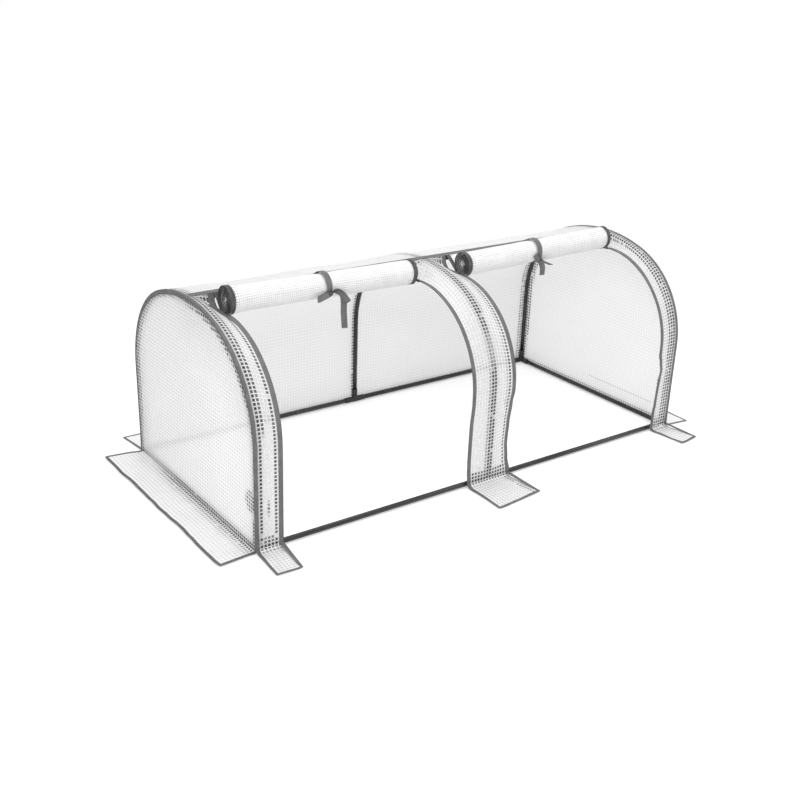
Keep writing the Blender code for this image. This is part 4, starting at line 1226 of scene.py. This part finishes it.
# Ties: two straps round the roll, a knot, one loop and two tails. The places of loop and tails are
# measured from the knot, and the straps are sewn beside the hinge.
strap = dict(over=(0, -0.0006, 0.0012), under=(0, -0.001, -0.0034), tuck=5, approach=6, steps=30,
             uneven=0.0006)
ribbon = dict(thickness=0.0011, offRoll=0.0030, knotOff=0.0050, tailSteps=5)
loop = dict(widthShare=0.92, steps=26, neck=0.4, apart=0.0016, twist=0.12)
pillow = dict(rings=12, places=20, folds=0.10, creases=0.05, square=0.8, least=0.02, seamHalf=0.008)
ties = dict(
    left=dict(
        width=0.0225, bow=203, drift=0.001, knot=(0.0120, 0.0062, 0.0095), loop=(-0.054, -0.006, -0.012),
        loopTilt=168, loopOpen=0.0045, tails=dict(
            short=dict(places=((0.002, 0.0, 0.003), (0.018, -0.005, 0.010), (0.037, -0.009, 0.003),
                               (0.055, -0.011, -0.015), (0.071, -0.012, -0.038)),
                       wides=((0.5, -0.6, 0.6), (0.75, -0.25, 0.6))),
            long=dict(places=((0.002, -0.002, 0.005), (0.014, -0.005, 0.008), (0.028, -0.006, 0.009),
                              (0.042, -0.006, 0.000), (0.053, -0.005, -0.019), (0.057, -0.003, -0.042),
                              (0.0590, 0.0, -0.072), (0.0620, 0.001, -0.106), (0.0650, 0.002, -0.138)),
                      wides=((0.45, -0.85, 0.1), (0.90, -0.43, 0.0))))),
    right=dict(
        width=0.0225, bow=208, drift=-0.004, knot=(0.0110, 0.0062, 0.0100), loop=(-0.028, -0.006, 0.017),
        loopTilt=215, loopOpen=0.0080, tails=dict(
            short=dict(places=((0.002, 0.0, -0.003), (0.016, -0.004, -0.010), (0.034, -0.006, -0.018),
                               (0.060, -0.007, -0.029)),
                       wides=((0.2, 0.75, -0.5), (0.35, 0.80, -0.45))),
            long=dict(places=((0.001, -0.001, -0.003), (0.008, -0.004, -0.016), (0.016, -0.004, -0.034),
                              (0.019, -0.002, -0.052), (0.020, 0.0, -0.068)),
                      wides=((0.6, -0.6, 0.3), (0.95, -0.30, 0.10))))))


def heading(line, k):
    return (line[min(k + 1, len(line) - 1)] - line[max(k - 1, 0)]).normalized()


# A smooth line through places, in so many steps from each to the next
def curveThrough(places, steps):
    spots = [places[0] * 2 - places[1]] + places + [places[-1] * 2 - places[-2]]
    line = []
    for a, b, c, d in zip(spots, spots[1:], spots[2:], spots[3:]):
        for k in range(steps):
            t = k / steps
            line.append(b + (c - a) * (t / 2) + (a * 2 - b * 5 + c * 4 - d) * (t * t / 2)
                        + (b * 3 - a - c * 3 + d) * (t * t * t / 2))
    return line + [spots[-2]]


# A ribbon along a line
def addRibbon(name, line, wides, width, side, nodes=()):
    normals = [heading(line, k).cross(wide).normalized() for k, wide in enumerate(wides)]
    wides = [normal.cross(heading(line, k)).normalized() for k, normal in enumerate(normals)]
    piece = tapeAlong(name + "_" + side, line, wides, normals, width, ribbon["thickness"], "ribbonWoven",
                      side + "_door", "tape", nodes, inset=0.002)
    length = sum((q - p).length for p, q in zip(line, line[1:]))


def addStrap(side, tie, x, centre, radius, bow, way):
    over, tuck = way == "over", math.radians(strap["tuck"])
    sewn = hinge + Vector(strap[way])
    first = tangentAngle(sewn, centre, radius, over)
    last = bow - tuck if over else bow - 2 * math.pi + tuck
    landing = centre + turnedOut(first, radius)
    line = [sewn.lerp(landing, k / strap["approach"]) for k in range(strap["approach"])]
    for k in range(strap["steps"] + 1):
        away = radius + ripple(k * 0.02, x, 121.0, 0.1) * strap["uneven"]
        line.append(centre + turnedOut(first + (last - first) * k / strap["steps"], away))
    line = [p + sideways * (x + tie["drift"] * smooth(k, 4, len(line))) for k, p in enumerate(line)]
    wides = [(sideways + heading(line, k) * 0.02).normalized() for k in range(len(line))]
    addRibbon("door_strap_" + way, line, wides, tie["width"], side,
              nodes=["door_tie_" + side] if over else ())


# A ribbon drawn round the crossing, gathered to a pillow with folds
def addKnot(side, tie, knot, outward, along):
    long, deep, tall = tie["knot"]
    rings = []
    for j in range(pillow["rings"] + 1):
        t = -1 + 2 * j / pillow["rings"]
        bulk = math.sqrt(max(1 - t ** 4, pillow["least"]))
        ring = []
        for k in range(pillow["places"]):
            a = 2 * math.pi * k / pillow["places"]
            fold = 1 + pillow["folds"] * math.sin(a * 5 + t * 2) + pillow["creases"] * math.sin(t * 9 + a)
            out, up = (math.copysign(abs(v) ** pillow["square"], v) for v in (math.cos(a), math.sin(a)))
            offset = outward * out * deep + along * up * tall
            ring.append(knot + sideways * t * long + offset * bulk * fold)
        rings.append(ring)
    points, faces, maps = loft(rings, seamHalf=pillow["seamHalf"])
    addPiece("door_knot_" + side, points, faces, "layerWoven", side + "_door", "tape", maps)


# The loop goes out beside the knot and back over itself, on edge to the roll
def addLoop(side, tie, knot):
    tilt = math.radians(tie["loopTilt"])
    line, wides = [], []
    for k in range(loop["steps"] + 1):
        turn = 2 * math.pi * k / loop["steps"]
        share = (1 - math.cos(turn)) / 2
        bulge = tie["loopOpen"] * math.sin(turn) * (loop["neck"] + share) + loop["apart"] * math.cos(turn / 2)
        line.append(knot + Vector(tie["loop"]) * share + turnedOut(tilt) * bulge)
        twist = loop["twist"] * math.sin(turn / 2)
        wides.append(Vector((twist, math.sin(tilt), -math.cos(tilt))).normalized())
    width = tie["width"] * loop["widthShare"]
    addRibbon("door_loop", line, wides, width, side)


def addTail(name, side, tie, knot, tail):
    line = curveThrough([knot + Vector(p) for p in tail["places"]], ribbon["tailSteps"])
    start, end = (Vector(wide).normalized() for wide in tail["wides"])
    wides = [start.lerp(end, smooth(k / (len(line) - 1), 0, 0.8)).normalized() for k in range(len(line))]
    addRibbon("door_tail_" + name, line, wides, tie["width"], side)


def addTie(side, tie):
    x = doors[side]["tie"]
    centre, radius = rollAt(doors[side], x)
    radius += ribbon["offRoll"]
    bow = math.radians(tie["bow"])
    outward, along = turnedOut(bow), Vector((0, math.sin(bow), -math.cos(bow)))
    knot = centre + sideways * (x + tie["drift"]) + outward * (radius + ribbon["knotOff"])
    for way in ("over", "under"):
        addStrap(side, tie, x, centre, radius, bow, way)
    addKnot(side, tie, knot, outward, along)
    addLoop(side, tie, knot)
    for name, tail in tie["tails"].items():
        addTail(name, side, tie, knot, tail)


for side in ("left", "right"):
    addTie(side, ties[side])
    addDoor(side, doors[side])
print("doors ready")


# The zip pieces along each strip, and the area of an end panel under its arch

for side, piece in stripFilms.items():
    trims = [part for label, look in zipEdges.items() if look["side"] == side for part in zips[label]]
panelArea = sum(archHeight(y) * 0.002 for y in spread(-halfWidth + 0.001, halfWidth - 0.001, 0.002))
